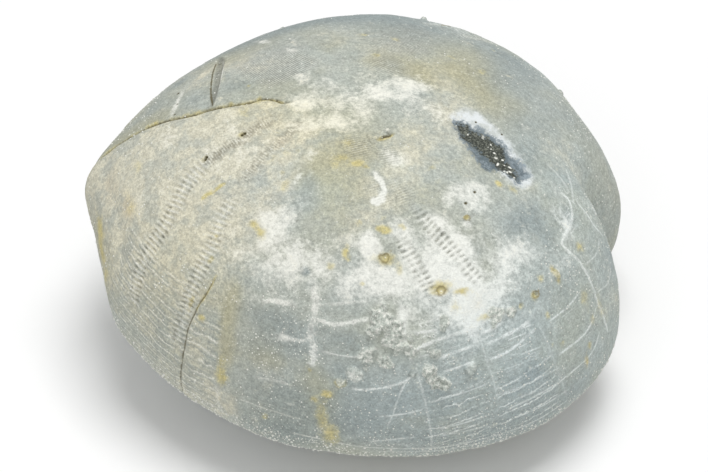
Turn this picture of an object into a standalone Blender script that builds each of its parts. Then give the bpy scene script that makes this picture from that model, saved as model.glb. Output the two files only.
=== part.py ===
"""Fossil heart urchin, a flattened dome of stone that grew as one piece.

Metres, +Z up.  The front, with its groove, points along +X, and the blunt rear
along -X.  The test rests on a flat of its underside at z = 0, and its bounding
box is centred on the Z axis.

A place on the test is given by a bearing round the pole axis (0 degrees at the
front, 90 on the left side) and a polar angle (0 at the apex, 90 at the widest
level, 180 at the middle of the underside).
"""

import math

import bmesh
import bpy
import numpy as np

MM = 0.001

# ---- The overall form -------------------------------------------------------
LENGTH = 92.0 * MM
WIDTH = 88.9 * MM
HEIGHT = 51.6 * MM
BASE_CUT = 1.2 * MM             # how much of the rounded underside the flat takes away
SKIN_CUTS = 150                 # rows on each side of the cube the fine skin starts from
TRIANGLES = 9300                # left in the finished solid

# Plan outline: a superellipse pulled out towards the front.
PLAN_HALF_LENGTH = 0.500 * LENGTH
PLAN_HALF_WIDTH = 0.491 * WIDTH
PLAN_POWER = 2.05
PLAN_FRONT_PULL = 0.140
PLAN_HEART = -0.011
PLAN_SKEW = -0.020

# Side outline: the height of the widest level, and how full the dome is.
EDGE_HEIGHT = 18.5 * MM
EDGE_TILT = -0.8 * MM           # higher at the rear than at the front
REAR_EDGE_RISE = 10.2 * MM      # the rear is cut off steeply under a high edge
REAR_EDGE_SPREAD = 34.0
REAR_BEARING = 182.7
DOME_POWER = 2.27
DOME_POWER_FRONT = 0.17
EDGE_ROUNDING = (55.0, 125.0)   # polar angles where the dome turns into the underside
APEX_SHIFT = -2.6 * MM

# Front groove, from the shoulder of the dome round to the mouth.
GROOVE_BEARING = -1.0
GROOVE_DEPTH = 8.3 * MM
GROOVE_SPREAD = 8.6
GROOVE_START = 30.0

# Broad swellings and hollows: bearing, polar angle, spread of each, height.
SWELLINGS = (
    (182.7, 84.0, 8.0, 20.0, 2.1 * MM),     # the blunt corner of the rear edge
    (13.0, 80.0, 7.0, 14.0, 0.75 * MM),
    (24.0, 67.0, 10.0, 16.0, -0.6 * MM),
    (-42.0, 102.0, 8.0, 20.0, 0.35 * MM),
    (-72.0, 109.0, 14.0, 20.0, 0.2 * MM),
    (-98.0, 109.0, 12.0, 20.0, 0.85 * MM),
    (-147.0, 99.0, 7.0, 20.0, 1.0 * MM),
    (108.0, 48.0, 14.0, 16.0, -0.4 * MM),
)

# ---- Petals: each has a pore zone on both sides, with two rows of pores ------
# Paths run down from the apex: bearing and polar angle in degrees.
ZONE_1_REAR = ((-143.4, 11.7), (-144.2, 21.2), (-145.3, 31), (-143.7, 41.8), (-140.9, 52.5), (-141, 66))
ZONE_1_FRONT = ((-115, 8.7), (-124.1, 21.4), (-124.7, 35), (-123.3, 48), (-124.3, 60), (-124.8, 70))
ZONE_2_REAR = ((-47.6, 6.3), (-61.3, 16.4), (-64.7, 25.9), (-63.9, 38.3), (-62.4, 50.2))
ZONE_2_FRONT = ((-35, 8.5), (-46, 16.5), (-52.5, 28), (-51.9, 37), (-48.8, 52.3))
PETAL_1_ROW_GAP = 1.9 * MM
PETAL_2_ROW_GAP = 1.5 * MM
PORE_ROW_WIDTH = 0.5 * MM
PORE_DEPTH = 0.45 * MM
PORE_PITCH = 0.93 * MM
ZONE_DEPTH = 0.2 * MM
ZONE_HALF_WIDTH = 1.5 * MM
ZONE_FADE = 4.0 * MM            # the pores grow shallow over this length at both ends

# ---- Breaks and wear --------------------------------------------------------
CRACK = ((-166, 6.1), (-172.7, 9.5), (-177.6, 14.1), (-174.7, 19.6), (-174.6, 32.9), (-177.6, 48.1),
         (-178.2, 67), (-176.5, 86))
CRACK_STEP = 0.6 * MM           # the near side stands above the far side
CRACK_STEP_REACH = 7.0 * MM
CRACK_WIDTH = 0.35 * MM
CRACK_DEPTH = 0.5 * MM

WEDGE_CRACK = ((-176.5, 26.9), (174.5, 27.6), (167, 28.3), (160, 29.4), (153.5, 31.7), (145, 36.0),
               (139.3, 41.2))
WEDGE_CRACK_WIDTH = 0.6 * MM
WEDGE_CRACK_DEPTH = 0.5 * MM

SIDE_CRACK = ((-118.9, 56.5), (-121.3, 64.8), (-122.9, 72.5), (-123.5, 85.6), (-126, 110))
SIDE_CRACK_WIDTH = 0.3 * MM
SIDE_CRACK_DEPTH = 0.35 * MM

REAR_CREASE = ((-175.5, 67), (-169, 69), (-163, 67.5), (-154, 67), (-149, 71))
REAR_CREASE_WIDTH = 1.5 * MM
REAR_CREASE_DEPTH = 0.4 * MM

# A spindle-shaped worn hollow, along its middle line.
HOLLOW = ((-8.5, 22.8), (-11.5, 25.8), (-14.3, 29.5), (-16.8, 34.8))
HOLLOW_HALF_WIDTH = 2.6 * MM
HOLLOW_DEPTH = 0.55 * MM

# Lumps of hardened mud stuck to the skin: bearing, polar angle, radius, height.
LUMPS = (
    (-57.0, 70.8, 1.3 * MM, 1.15 * MM),
    (-65.0, 69.3, 1.2 * MM, 0.8 * MM),
    (-64.4, 73.0, 1.2 * MM, 0.9 * MM),
    (-62.6, 73.3, 1.1 * MM, 0.9 * MM),
    (-63.8, 65.8, 1.0 * MM, 0.5 * MM),
    (-73.8, 55.9, 1.8 * MM, 0.6 * MM),
    (-71.7, 58.9, 1.8 * MM, 0.65 * MM),
    (-71.0, 62.3, 1.9 * MM, 0.6 * MM),
    (-75.3, 59.3, 1.2 * MM, 0.5 * MM),
    (-77.6, 66.6, 1.6 * MM, 0.5 * MM),
    (-74.5, 66.4, 1.4 * MM, 0.45 * MM),
    (-80.8, 70.8, 1.5 * MM, 0.7 * MM),
    (-59.8, 58.1, 1.2 * MM, 0.4 * MM),
    (-49.2, 60.1, 1.5 * MM, 0.35 * MM),
    (-32.2, 58.3, 0.9 * MM, 0.45 * MM),
    (-83.7, 73.4, 0.8 * MM, 0.5 * MM),
    (68.0, 48.5, 1.0 * MM, 0.6 * MM),
    (32.0, 62.0, 0.9 * MM, 0.5 * MM),
    (96.0, 84.0, 1.7 * MM, 0.7 * MM),
    (102.0, 87.0, 1.4 * MM, 0.6 * MM),
    (20.0, 96.0, 1.3 * MM, 0.6 * MM),
    (150.0, 74.0, 1.2 * MM, 0.5 * MM),
)

# Small round pits worn through the skin: bearing, polar angle, radius, depth.
PITS = (
    (-146.8, 20.0, 0.7 * MM, 0.55 * MM),
    (-147.5, 31.7, 0.7 * MM, 0.5 * MM),
    (-69.2, 40.5, 0.8 * MM, 0.45 * MM),
    (-58.3, 50.1, 0.9 * MM, 0.45 * MM),
    (174.3, 39.4, 0.6 * MM, 0.45 * MM),
    (166.1, 41.9, 0.6 * MM, 0.45 * MM),
    (60.0, 45.0, 0.7 * MM, 0.45 * MM),
    (95.0, 62.0, 0.8 * MM, 0.45 * MM),
)

# ---- Openings of the living animal, filled with stone -----------------------
MOUTH_DISTANCE = 24.0 * MM      # in front of the pole axis, on the underside
MOUTH_HALF_LENGTH = 4.0 * MM
MOUTH_HALF_WIDTH = 6.5 * MM
MOUTH_DEPTH = 2.2 * MM
LIP_HEIGHT = 0.9 * MM
VENT_POLAR = 97.0
VENT_HALF_WIDTH = 3.4 * MM
VENT_HALF_HEIGHT = 5.0 * MM
VENT_DEPTH = 1.8 * MM
TRACK_BEARING = 138.0           # smooth bands on the underside, either side of the middle
TRACK_DEPTH = 0.5 * MM
TRACK_HALF_WIDTH = 4.0 * MM

STONE_COLOUR = (0.46, 0.48, 0.46, 1.0)
STONE_ROUGHNESS = 0.85


def wrapped(angle):
    """An angle brought into -pi..pi."""
    return (angle + math.pi) % (2 * math.pi) - math.pi


def bell(distance, width):
    """1 on the middle line, falling away smoothly over about the width."""
    return np.exp(-(distance / width) ** 2)


def ramp(value, low, high):
    """0 below low, 1 above high, and smooth between."""
    t = np.clip((value - low) / (high - low), 0.0, 1.0)
    return t * t * (3.0 - 2.0 * t)


def plan_radius(bearing):
    """Distance from the pole axis to the outline seen from above."""
    along = np.abs(np.cos(bearing) / PLAN_HALF_LENGTH) ** PLAN_POWER
    across = np.abs(np.sin(bearing) / PLAN_HALF_WIDTH) ** PLAN_POWER
    shape = 1.0 + PLAN_FRONT_PULL * np.cos(bearing)
    shape += PLAN_HEART * np.cos(3.0 * bearing)
    shape += PLAN_SKEW * np.sin(3.0 * bearing)
    return shape * (along + across) ** (-1.0 / PLAN_POWER)


def form(bearing, polar):
    """Points of the plain form."""
    from_rear = wrapped(bearing - math.radians(REAR_BEARING))
    edge = EDGE_HEIGHT + EDGE_TILT * np.cos(bearing)
    edge += REAR_EDGE_RISE * bell(from_rear, math.radians(REAR_EDGE_SPREAD))
    top = HEIGHT + BASE_CUT
    upper = polar < 0.5 * math.pi
    lower = ramp(polar, *np.radians(EDGE_ROUNDING))
    power = 2.0 + (DOME_POWER - 2.0 + DOME_POWER_FRONT * np.cos(bearing)) * (1.0 - lower)
    share = np.clip(np.sin(polar), 0.0, 1.0) ** (2.0 / power)
    rise = np.sign(np.cos(polar)) * np.abs(np.cos(polar)) ** (2.0 / power)
    half_height = (top - edge) * (1.0 - lower) + edge * lower
    z = edge + half_height * rise

    from_groove = wrapped(bearing - math.radians(GROOVE_BEARING))
    groove = (1.0 + (from_groove / math.radians(GROOVE_SPREAD)) ** 2) ** -1.5
    downwards = ramp(polar, math.radians(GROOVE_START), 0.5 * math.pi)
    inwards = 1.0 - ramp(polar, 0.5 * math.pi, math.pi)
    reach = plan_radius(bearing) * share
    reach = reach - GROOVE_DEPTH * groove * np.where(upper, downwards, inwards)
    for middle, level, spread, level_spread, height in SWELLINGS:
        around = bell(wrapped(bearing - math.radians(middle)), math.radians(spread))
        above = bell(polar - math.radians(level), math.radians(level_spread))
        reach = reach + height * around * above
    reach = np.maximum(reach, 0.0)

    x = reach * np.cos(bearing) + APEX_SHIFT * np.where(upper, 1.0 - share, 0.0)
    return np.stack((x, reach * np.sin(bearing), z), axis=-1)


def place(bearing_degrees, polar_degrees):
    """One point of the plain form, from angles in degrees."""
    bearing = np.radians(np.array([bearing_degrees], dtype=float))
    polar = np.radians(np.array([polar_degrees], dtype=float))
    return form(bearing, polar)[0]


def mirrored(path):
    """The same path on the other side of the animal."""
    return tuple((-bearing, polar) for bearing, polar in path)


def beside_path(points, path):
    """Distance to a line drawn on the skin, positive on its left, and the length along it."""
    corners = np.array([place(*corner) for corner in path])
    best = np.full(len(points), np.inf)
    across = np.zeros(len(points))
    along = np.zeros(len(points))
    passed = 0.0
    for start, end in zip(corners[:-1], corners[1:]):
        run = end - start
        share = np.clip((points - start) @ run / (run @ run), 0.0, 1.0)
        offset = points - (start + share[:, None] * run)
        distance = np.linalg.norm(offset, axis=1)
        closer = distance < best
        best[closer] = distance[closer]
        outward = 0.5 * (start + end) - np.array((0.0, 0.0, EDGE_HEIGHT))
        side = np.sign(offset @ np.cross(outward, run))
        across[closer] = (side * distance)[closer]
        along[closer] = passed + (share * np.linalg.norm(run))[closer]
        passed += np.linalg.norm(run)
    return across, along


def sunk_line(points, path, width, depth):
    """A narrow valley along a path."""
    return -depth * bell(beside_path(points, path)[0], width)


def zone_relief(points, path, row_gap):
    """One sunken pore zone with its two rows of pits."""
    across, along = beside_path(points, path)
    corners = np.array([place(*corner) for corner in path])
    length = np.linalg.norm(np.diff(corners, axis=0), axis=1).sum()
    shown = ramp(along, 0.0, ZONE_FADE) * (1.0 - ramp(along, length - ZONE_FADE, length))
    pit = (0.5 + 0.5 * np.cos(2.0 * math.pi * along / PORE_PITCH)) ** 1.5
    depth = ZONE_DEPTH * bell(across, ZONE_HALF_WIDTH)
    for row in (-0.5, 0.5):
        depth += PORE_DEPTH * pit * bell(across - row * row_gap, PORE_ROW_WIDTH)
    return -shown * depth


def petal_relief(points):
    """The pore zones of the four long petals, alike on both sides of the animal."""
    relief = np.zeros(len(points))
    for path, row_gap in ((ZONE_1_REAR, PETAL_1_ROW_GAP), (ZONE_1_FRONT, PETAL_1_ROW_GAP),
                          (ZONE_2_REAR, PETAL_2_ROW_GAP), (ZONE_2_FRONT, PETAL_2_ROW_GAP)):
        relief += zone_relief(points, path, row_gap)
        relief += zone_relief(points, mirrored(path), row_gap)
    return relief


def crack_relief(points):
    """The broken line over the rear, with a ledge, and the smaller cracks."""
    across, _ = beside_path(points, CRACK)
    ledge = 0.5 * CRACK_STEP * np.exp(-np.abs(across) / CRACK_STEP_REACH)
    relief = ledge * np.tanh(across / CRACK_WIDTH)
    relief += sunk_line(points, CRACK, CRACK_WIDTH, CRACK_DEPTH)
    relief += sunk_line(points, WEDGE_CRACK, WEDGE_CRACK_WIDTH, WEDGE_CRACK_DEPTH)
    relief += sunk_line(points, SIDE_CRACK, SIDE_CRACK_WIDTH, SIDE_CRACK_DEPTH)
    relief += sunk_line(points, REAR_CREASE, REAR_CREASE_WIDTH, REAR_CREASE_DEPTH)
    return relief


def hollow_relief(points):
    """The worn hollow, deepest along its middle line."""
    distance = np.abs(beside_path(points, HOLLOW)[0])
    return -HOLLOW_DEPTH * (1.0 - ramp(distance, 0.4 * HOLLOW_HALF_WIDTH, HOLLOW_HALF_WIDTH))


def spot_relief(points):
    """Lumps with steep sides and flattish tops, and small pits."""
    relief = np.zeros(len(points))
    for bearing, polar, radius, height in LUMPS:
        distance = np.linalg.norm(points - place(bearing, polar), axis=1)
        lump = height * (1.0 - ramp(distance, 0.35 * radius, 1.15 * radius))
        relief = np.maximum(relief, lump)
    for bearing, polar, radius, depth in PITS:
        distance = np.linalg.norm(points - place(bearing, polar), axis=1)
        relief -= depth * bell(distance, radius)
    return relief


def opening_relief(points, bearing, polar):
    """Mouth and lip below, vent at the rear, and the smooth bands of the underside."""
    under = ramp(polar, 0.55 * math.pi, 0.75 * math.pi)
    from_mouth = points[:, 0] - MOUTH_DISTANCE
    oval = np.hypot(from_mouth / MOUTH_HALF_LENGTH, points[:, 1] / MOUTH_HALF_WIDTH)
    relief = -MOUTH_DEPTH * under * (1.0 - ramp(oval, 0.5, 1.1))
    behind = bell(from_mouth + 1.5 * MOUTH_HALF_LENGTH, 0.5 * MOUTH_HALF_LENGTH)
    relief += LIP_HEIGHT * under * behind * bell(points[:, 1], 0.8 * MOUTH_HALF_WIDTH)

    vent = place(REAR_BEARING, VENT_POLAR)
    rear = np.cos(bearing) < 0.0
    oval = np.hypot((points[:, 1] - vent[1]) / VENT_HALF_WIDTH,
                    (points[:, 2] - vent[2]) / VENT_HALF_HEIGHT)
    relief -= VENT_DEPTH * rear * (1.0 - ramp(oval, 0.5, 1.1))

    for turn in (-1.0, 1.0):
        from_band = wrapped(bearing - math.radians(turn * TRACK_BEARING))
        across = np.hypot(points[:, 0], points[:, 1]) * from_band
        relief -= TRACK_DEPTH * under * rear * bell(across, TRACK_HALF_WIDTH)
    return relief


def fine_skin():
    """A closed mesh of small squares on the plain form, and the angles of its points."""
    skin = bmesh.new()
    bmesh.ops.create_cube(skin, size=2.0)
    bmesh.ops.subdivide_edges(skin, edges=skin.edges[:], cuts=SKIN_CUTS, use_grid_fill=True)
    mesh = bpy.data.meshes.new("fossil_urchin")
    skin.to_mesh(mesh)
    skin.free()
    cube = np.empty(3 * len(mesh.vertices))
    mesh.vertices.foreach_get("co", cube)
    ball = np.tan(0.25 * math.pi * cube.reshape(-1, 3))
    ball /= np.linalg.norm(ball, axis=1, keepdims=True)
    bearing = np.arctan2(ball[:, 1], ball[:, 0])
    polar = np.arccos(np.clip(ball[:, 2], -1.0, 1.0))
    return mesh, bearing, polar


def raise_relief(mesh, bearing, polar):
    """Put the mesh on the form, and move its points in or out along their normals."""
    points = form(bearing, polar)
    mesh.vertices.foreach_set("co", points.ravel())
    mesh.update()
    normals = np.empty(points.size)
    mesh.vertex_normals.foreach_get("vector", normals)
    normals = normals.reshape(-1, 3)
    relief = petal_relief(points)
    relief += crack_relief(points)
    relief += hollow_relief(points)
    relief += spot_relief(points)
    relief += opening_relief(points, bearing, polar)
    mesh.vertices.foreach_set("co", (points + relief[:, None] * normals).ravel())
    mesh.update()


def thin_out(mesh):
    """The same skin with long triangles where it is plain and short ones where it isn't."""
    fine = bpy.data.objects.new("fine_skin", mesh)
    bpy.context.collection.objects.link(fine)
    thinner = fine.modifiers.new("thinner", "DECIMATE")
    thinner.ratio = TRIANGLES / (2.0 * len(mesh.polygons))
    thinner.use_collapse_triangulate = True
    graph = bpy.context.evaluated_depsgraph_get()
    thinned = bpy.data.meshes.new_from_object(fine.evaluated_get(graph))
    bpy.data.objects.remove(fine)
    return thinned


def cut_flat(mesh):
    """Cut the underside flat, and stand it on z = 0 with its box on the Z axis."""
    solid = bmesh.new()
    solid.from_mesh(mesh)
    everything = solid.verts[:] + solid.edges[:] + solid.faces[:]
    cut = bmesh.ops.bisect_plane(solid, geom=everything, plane_co=(0.0, 0.0, BASE_CUT),
                                 plane_no=(0.0, 0.0, -1.0), clear_outer=True)
    rim = [item for item in cut["geom_cut"] if isinstance(item, bmesh.types.BMEdge)]
    for vert in {vert for edge in rim for vert in edge.verts}:
        vert.co.z = BASE_CUT
    flat = bmesh.ops.edgenet_fill(solid, edges=rim)["faces"]
    bmesh.ops.triangulate(solid, faces=flat)
    bmesh.ops.recalc_face_normals(solid, faces=solid.faces[:])
    xs = [vert.co.x for vert in solid.verts]
    ys = [vert.co.y for vert in solid.verts]
    middle = (0.5 * (min(xs) + max(xs)), 0.5 * (min(ys) + max(ys)), BASE_CUT)
    bmesh.ops.translate(solid, verts=solid.verts[:], vec=[-value for value in middle])
    solid.to_mesh(mesh)
    solid.free()


def stone():
    """Dull blue-grey limestone."""
    material = bpy.data.materials.new("grey_limestone")
    material.use_nodes = True
    shader = material.node_tree.nodes["Principled BSDF"]
    shader.inputs["Base Color"].default_value = STONE_COLOUR
    shader.inputs["Roughness"].default_value = STONE_ROUGHNESS
    shader.inputs["Metallic"].default_value = 0.0
    return material


def main():
    for old in list(bpy.data.objects):
        bpy.data.objects.remove(old)
    skin, bearing, polar = fine_skin()
    raise_relief(skin, bearing, polar)
    mesh = thin_out(skin)
    cut_flat(mesh)
    mesh.materials.clear()
    mesh.materials.append(stone())
    mesh.shade_smooth()
    mesh.set_sharp_from_angle(angle=math.radians(40.0))
    urchin = bpy.data.objects.new("fossil_urchin", mesh)
    bpy.context.collection.objects.link(urchin)


main()
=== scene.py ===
"""Looks of the fossil heart urchin: one skin with its pores, cracks, sutures and crusts, and its granules.

Metres, +Z up.  The front groove is at +X and the camera stands on the -Y side.  A place on the test
is a bearing round the pole axis (0 at the front, -90 towards the camera, 180 at the rear) and a
polar angle (0 at the apex, 90 at the widest level, 180 under the middle), both in degrees.
"""

import math

import bmesh
import bpy
import numpy as np
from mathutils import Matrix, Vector
from mathutils import kdtree


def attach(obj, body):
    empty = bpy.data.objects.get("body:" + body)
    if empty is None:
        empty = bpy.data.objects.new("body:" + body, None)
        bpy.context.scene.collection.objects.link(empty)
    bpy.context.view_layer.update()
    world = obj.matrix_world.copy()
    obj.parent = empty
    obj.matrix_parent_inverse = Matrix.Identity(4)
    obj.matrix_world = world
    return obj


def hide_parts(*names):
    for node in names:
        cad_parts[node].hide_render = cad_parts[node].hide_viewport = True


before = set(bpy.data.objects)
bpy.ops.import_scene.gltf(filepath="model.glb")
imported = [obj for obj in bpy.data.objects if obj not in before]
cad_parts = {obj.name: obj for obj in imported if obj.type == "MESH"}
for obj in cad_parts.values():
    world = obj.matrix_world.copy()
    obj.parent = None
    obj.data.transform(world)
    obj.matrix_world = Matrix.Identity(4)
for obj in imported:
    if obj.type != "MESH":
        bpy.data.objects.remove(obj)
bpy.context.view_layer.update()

MM = 0.001
SEED = 7

# ---- The plain form, the same as the solid's --------------------------------
LENGTH = 92.0 * MM
WIDTH = 88.9 * MM
HEIGHT = 51.6 * MM
BASE_CUT = 1.2 * MM
PLAN_HALF_LENGTH = 0.500 * LENGTH
PLAN_HALF_WIDTH = 0.491 * WIDTH
PLAN_POWER = 2.05
PLAN_FRONT_PULL = 0.140
PLAN_HEART = -0.011
PLAN_SKEW = -0.020
EDGE_HEIGHT = 18.5 * MM
EDGE_TILT = -0.8 * MM
REAR_EDGE_RISE = 10.2 * MM
REAR_EDGE_SPREAD = 34.0
REAR_BEARING = 182.7
DOME_POWER = 2.27
DOME_POWER_FRONT = 0.17
EDGE_ROUNDING = (55.0, 125.0)
APEX_SHIFT = -2.6 * MM
GROOVE_BEARING = -1.0
GROOVE_DEPTH = 8.3 * MM
GROOVE_SPREAD = 8.6
GROOVE_START = 30.0
SWELLINGS = (
    (182.7, 84.0, 8.0, 20.0, 2.1 * MM),
    (13.0, 80.0, 7.0, 14.0, 0.75 * MM),
    (24.0, 67.0, 10.0, 16.0, -0.6 * MM),
    (-42.0, 102.0, 8.0, 20.0, 0.35 * MM),
    (-72.0, 109.0, 14.0, 20.0, 0.2 * MM),
    (-98.0, 109.0, 12.0, 20.0, 0.85 * MM),
    (-147.0, 99.0, 7.0, 20.0, 1.0 * MM),
    (108.0, 48.0, 14.0, 16.0, -0.4 * MM),
)

# ---- How fine the skin is: longest edges ------------------------------------
UNDERSIDE = (1.75, 2.1)         # it begins between these polar angles, in radians
EDGE_SEEN = 0.98 * MM
EDGE_UNDER = 1.30 * MM
EDGE_PORES = 0.36 * MM
EDGE_CRACK = 0.34 * MM
EDGE_CRUST = 0.36 * MM
EDGE_PITS = 0.24 * MM
EDGE_HOLLOW = 0.24 * MM
EDGE_OPENING = 0.6 * MM
EDGE_GROWTH = 0.34              # how fast it grows away from a feature
HOLLOW_REACH = 2.4 * MM         # the finest edges reach this far from a feature
CRACK_REACH = 0.45 * MM
VENT_REACH = 6.0 * MM

# ---- Pore zones: two rows of pores on each side of a petal ------------------
# Paths run down from the apex: bearing and polar angle in degrees.
ZONE_1_REAR = ((-143.4, 11.7), (-145.6, 16.8), (-144.2, 21.2), (-144.8, 25.3), (-145.3, 31),
               (-144.8, 37), (-143.7, 41.8), (-142, 46.1), (-140.9, 52.5), (-141, 60), (-141.4, 68.4),
               (-140.8, 78.8))
ZONE_1_FRONT = ((-115, 8.7), (-120.2, 14.1), (-124.1, 21.4), (-125, 27.9), (-124.7, 35),
                (-124.5, 41.1), (-123.3, 48), (-123.6, 53.5), (-124.3, 60), (-124.6, 68), (-125.4, 78.6))
ZONE_2_REAR = ((-47.6, 6.3), (-57.2, 11.2), (-61.0, 16.4), (-63.0, 21.2), (-63.8, 25.9),
               (-63.6, 32.4), (-62.5, 38.3), (-61.9, 42), (-61.4, 45.6), (-60.4, 51.5))
ZONE_2_FRONT = ((-35, 8.5), (-39.5, 12.3), (-46, 16.5), (-50.5, 22), (-52.5, 28), (-53.2, 32.8),
                (-51.9, 37), (-50.8, 41.2), (-50.1, 46.3), (-48.8, 52.3))


def mirrored(path):
    """The same path on the other side of the animal."""
    return tuple((-bearing, polar) for bearing, polar in path)


# path, gap between the rows, pitch of the pores, where they start and end along the path,
# their depth, and how dark the painted shade in them is
ZONES = (
    (ZONE_1_REAR, 1.9 * MM, 0.93 * MM, 12.0 * MM, 44.0 * MM, 0.24 * MM, 0.24),
    (ZONE_1_FRONT, 1.7 * MM, 0.93 * MM, 16.0 * MM, 50.0 * MM, 0.22 * MM, 0.22),
    (ZONE_2_REAR, 1.35 * MM, 0.92 * MM, 22.5 * MM, 36.0 * MM, 0.30 * MM, 0.40),
    (ZONE_2_FRONT, 1.35 * MM, 0.92 * MM, 17.5 * MM, 36.0 * MM, 0.32 * MM, 0.42),
    (mirrored(ZONE_1_REAR), 1.9 * MM, 0.93 * MM, 24.0 * MM, 43.0 * MM, 0.28 * MM, 0.40),
    (mirrored(ZONE_1_FRONT), 1.7 * MM, 0.93 * MM, 24.0 * MM, 50.0 * MM, 0.26 * MM, 0.40),
    (mirrored(ZONE_2_REAR), 1.35 * MM, 0.92 * MM, 24.0 * MM, 36.0 * MM, 0.30 * MM, 0.50),
    (mirrored(ZONE_2_FRONT), 1.35 * MM, 0.92 * MM, 24.0 * MM, 36.0 * MM, 0.30 * MM, 0.50),
)
PORE_LENGTH = 0.56 * MM         # half the length of a pore, across the zone
PORE_WIDTH = 0.19 * MM          # half its width, along the zone
RIDGE_HEIGHT = 0.07 * MM        # of the ridge between one pair of pores and the next
ZONE_SINK = 0.14 * MM
ZONE_REACH = 3.2 * MM
ZONE_RISE = 3.0 * MM            # its pores deepen over this length, going down from the apex
ZONE_FALL = 4.0 * MM
STRIPE_PITCH = 0.46 * MM        # fine stripes across the petals near the apex
# Paths down the middle of the two far petals, whose whole width is striped.
FAR_PETALS = (((128, 8), (131, 14), (133.5, 21), (134, 28), (134, 36)),
              ((40, 7), (48, 12), (55, 19), (57, 26), (57, 34)))
FAR_PETAL_HALF_WIDTH = 7.5 * MM

# ---- Breaks and wear --------------------------------------------------------
CRACK = ((-166, 6.1), (-167, 8.2), (-172.7, 9.5), (-176.2, 11.4), (-177.6, 14.1), (-175, 16.3),
         (-174.7, 19.6), (-175.2, 26.5), (-174.6, 32.9), (-176.4, 40), (-177.6, 48.1),
         (-177.9, 57.3), (-178.2, 67), (-178, 77.7), (-176.5, 86))
CRACK_STEP = 0.34 * MM
CRACK_STEP_REACH = 7.0 * MM
BEYOND_CRACK = 14.0 * MM        # how far the greyer stone reaches behind the crack
CRACK_WIDTH = 0.36 * MM
CRACK_DEPTH = 0.45 * MM
# The groove beside it: a wedge open at the far end, drawn as a closed outline.
GROOVE = ((-177.5, 27.2), (174.2, 28.4), (169.9, 28.9), (163.7, 29.6), (154.4, 32.7), (143.2, 38.5),
          (138.5, 42.0), (140.2, 37.6), (147.1, 33.2), (153.5, 30.7), (161, 28.4), (168.5, 27.2),
          (175.6, 26.7))
GROOVE_CUT = 0.36 * MM
SIDE_CRACK = ((-118.9, 56.5), (-120, 61.1), (-121.3, 64.8), (-122.1, 68.3), (-122.9, 72.5),
              (-123.1, 78.8), (-123.5, 85.6), (-123.9, 91.1), (-124.3, 100), (-126, 110))
SIDE_CRACK_WIDTH = 0.2 * MM
SIDE_CRACK_DEPTH = 0.3 * MM
GROOVE_EDGE = ((-177, 26.6), (176, 27.9), (171.5, 28.8), (165.3, 30.1), (158, 32.2), (150.6, 35.2),
               (143.2, 39.0))  # its ragged dark side
SMALL_CRACK = ((-42.1, 11.6), (-37.3, 11.7), (-34, 12.0), (-30.5, 11.3))
REAR_CREASE = ((-175.5, 67), (-169, 69), (-163, 67.5), (-154, 67), (-149, 71))
REAR_CREASE_WIDTH = 1.5 * MM
REAR_CREASE_DEPTH = 0.4 * MM

# The worn hollow, its dark core and the white ring round most of it, as closed outlines.
HOLLOW = ((-6.6, 20.0), (-4.3, 21.2), (-4.2, 22.7), (-5.2, 24.3), (-5.4, 26.0), (-6.1, 27.7),
          (-7.5, 29.5), (-9.1, 31.0), (-10.7, 32.3), (-11.9, 33.7), (-13.1, 35.4), (-13.9, 37.0),
          (-15.5, 38.3), (-18.3, 37.8), (-20.7, 37.0), (-20.5, 35.0), (-20.0, 33.1), (-20.8, 31.6),
          (-22.9, 30.6), (-23.5, 29.1), (-21.5, 27.3), (-18.6, 24.8), (-15.6, 22.9), (-12.9, 21.4))
CORE = ((-6.5, 20.9), (-5.8, 22.2), (-7.2, 23.6), (-7.4, 25.0), (-8.1, 27.5), (-8.9, 29.1),
        (-10.3, 30.5), (-12.2, 31.7), (-14.4, 32.4), (-15.9, 33.4), (-16.9, 34.8), (-18.8, 36.0),
        (-19.4, 35.1), (-19.0, 33.6), (-19.5, 32.5), (-18.7, 30.5), (-17.7, 29.1), (-16.9, 27.3),
        (-15.6, 25.5), (-13.9, 23.4), (-11.3, 21.8))
HALO = ((-4.3, 19.6), (1.7, 20.5), (4.1, 22.3), (3.4, 24.3), (1.0, 25.8), (-2.1, 27.5), (-3.8, 29.3),
        (-6.6, 31.2), (-9.2, 33.2), (-11.4, 35.3), (-13.2, 37.5), (-15.7, 39.1), (-18.9, 39.0),
        (-21.4, 38.0), (-22.3, 35.7), (-21.8, 33.5), (-20.9, 32.2), (-17.2, 30.5), (-14.0, 26.0),
        (-10.0, 23.0))
HOLLOW_DEPTH = 0.55 * MM

# Gentle unevenness everywhere: height and size of the waves and of the dimples.
WAVE_HEIGHT = 0.10 * MM
WAVE_SIZE = 7.0 * MM
DIMPLE_HEIGHT = 0.045 * MM
DIMPLE_SIZE = 1.8 * MM

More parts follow.
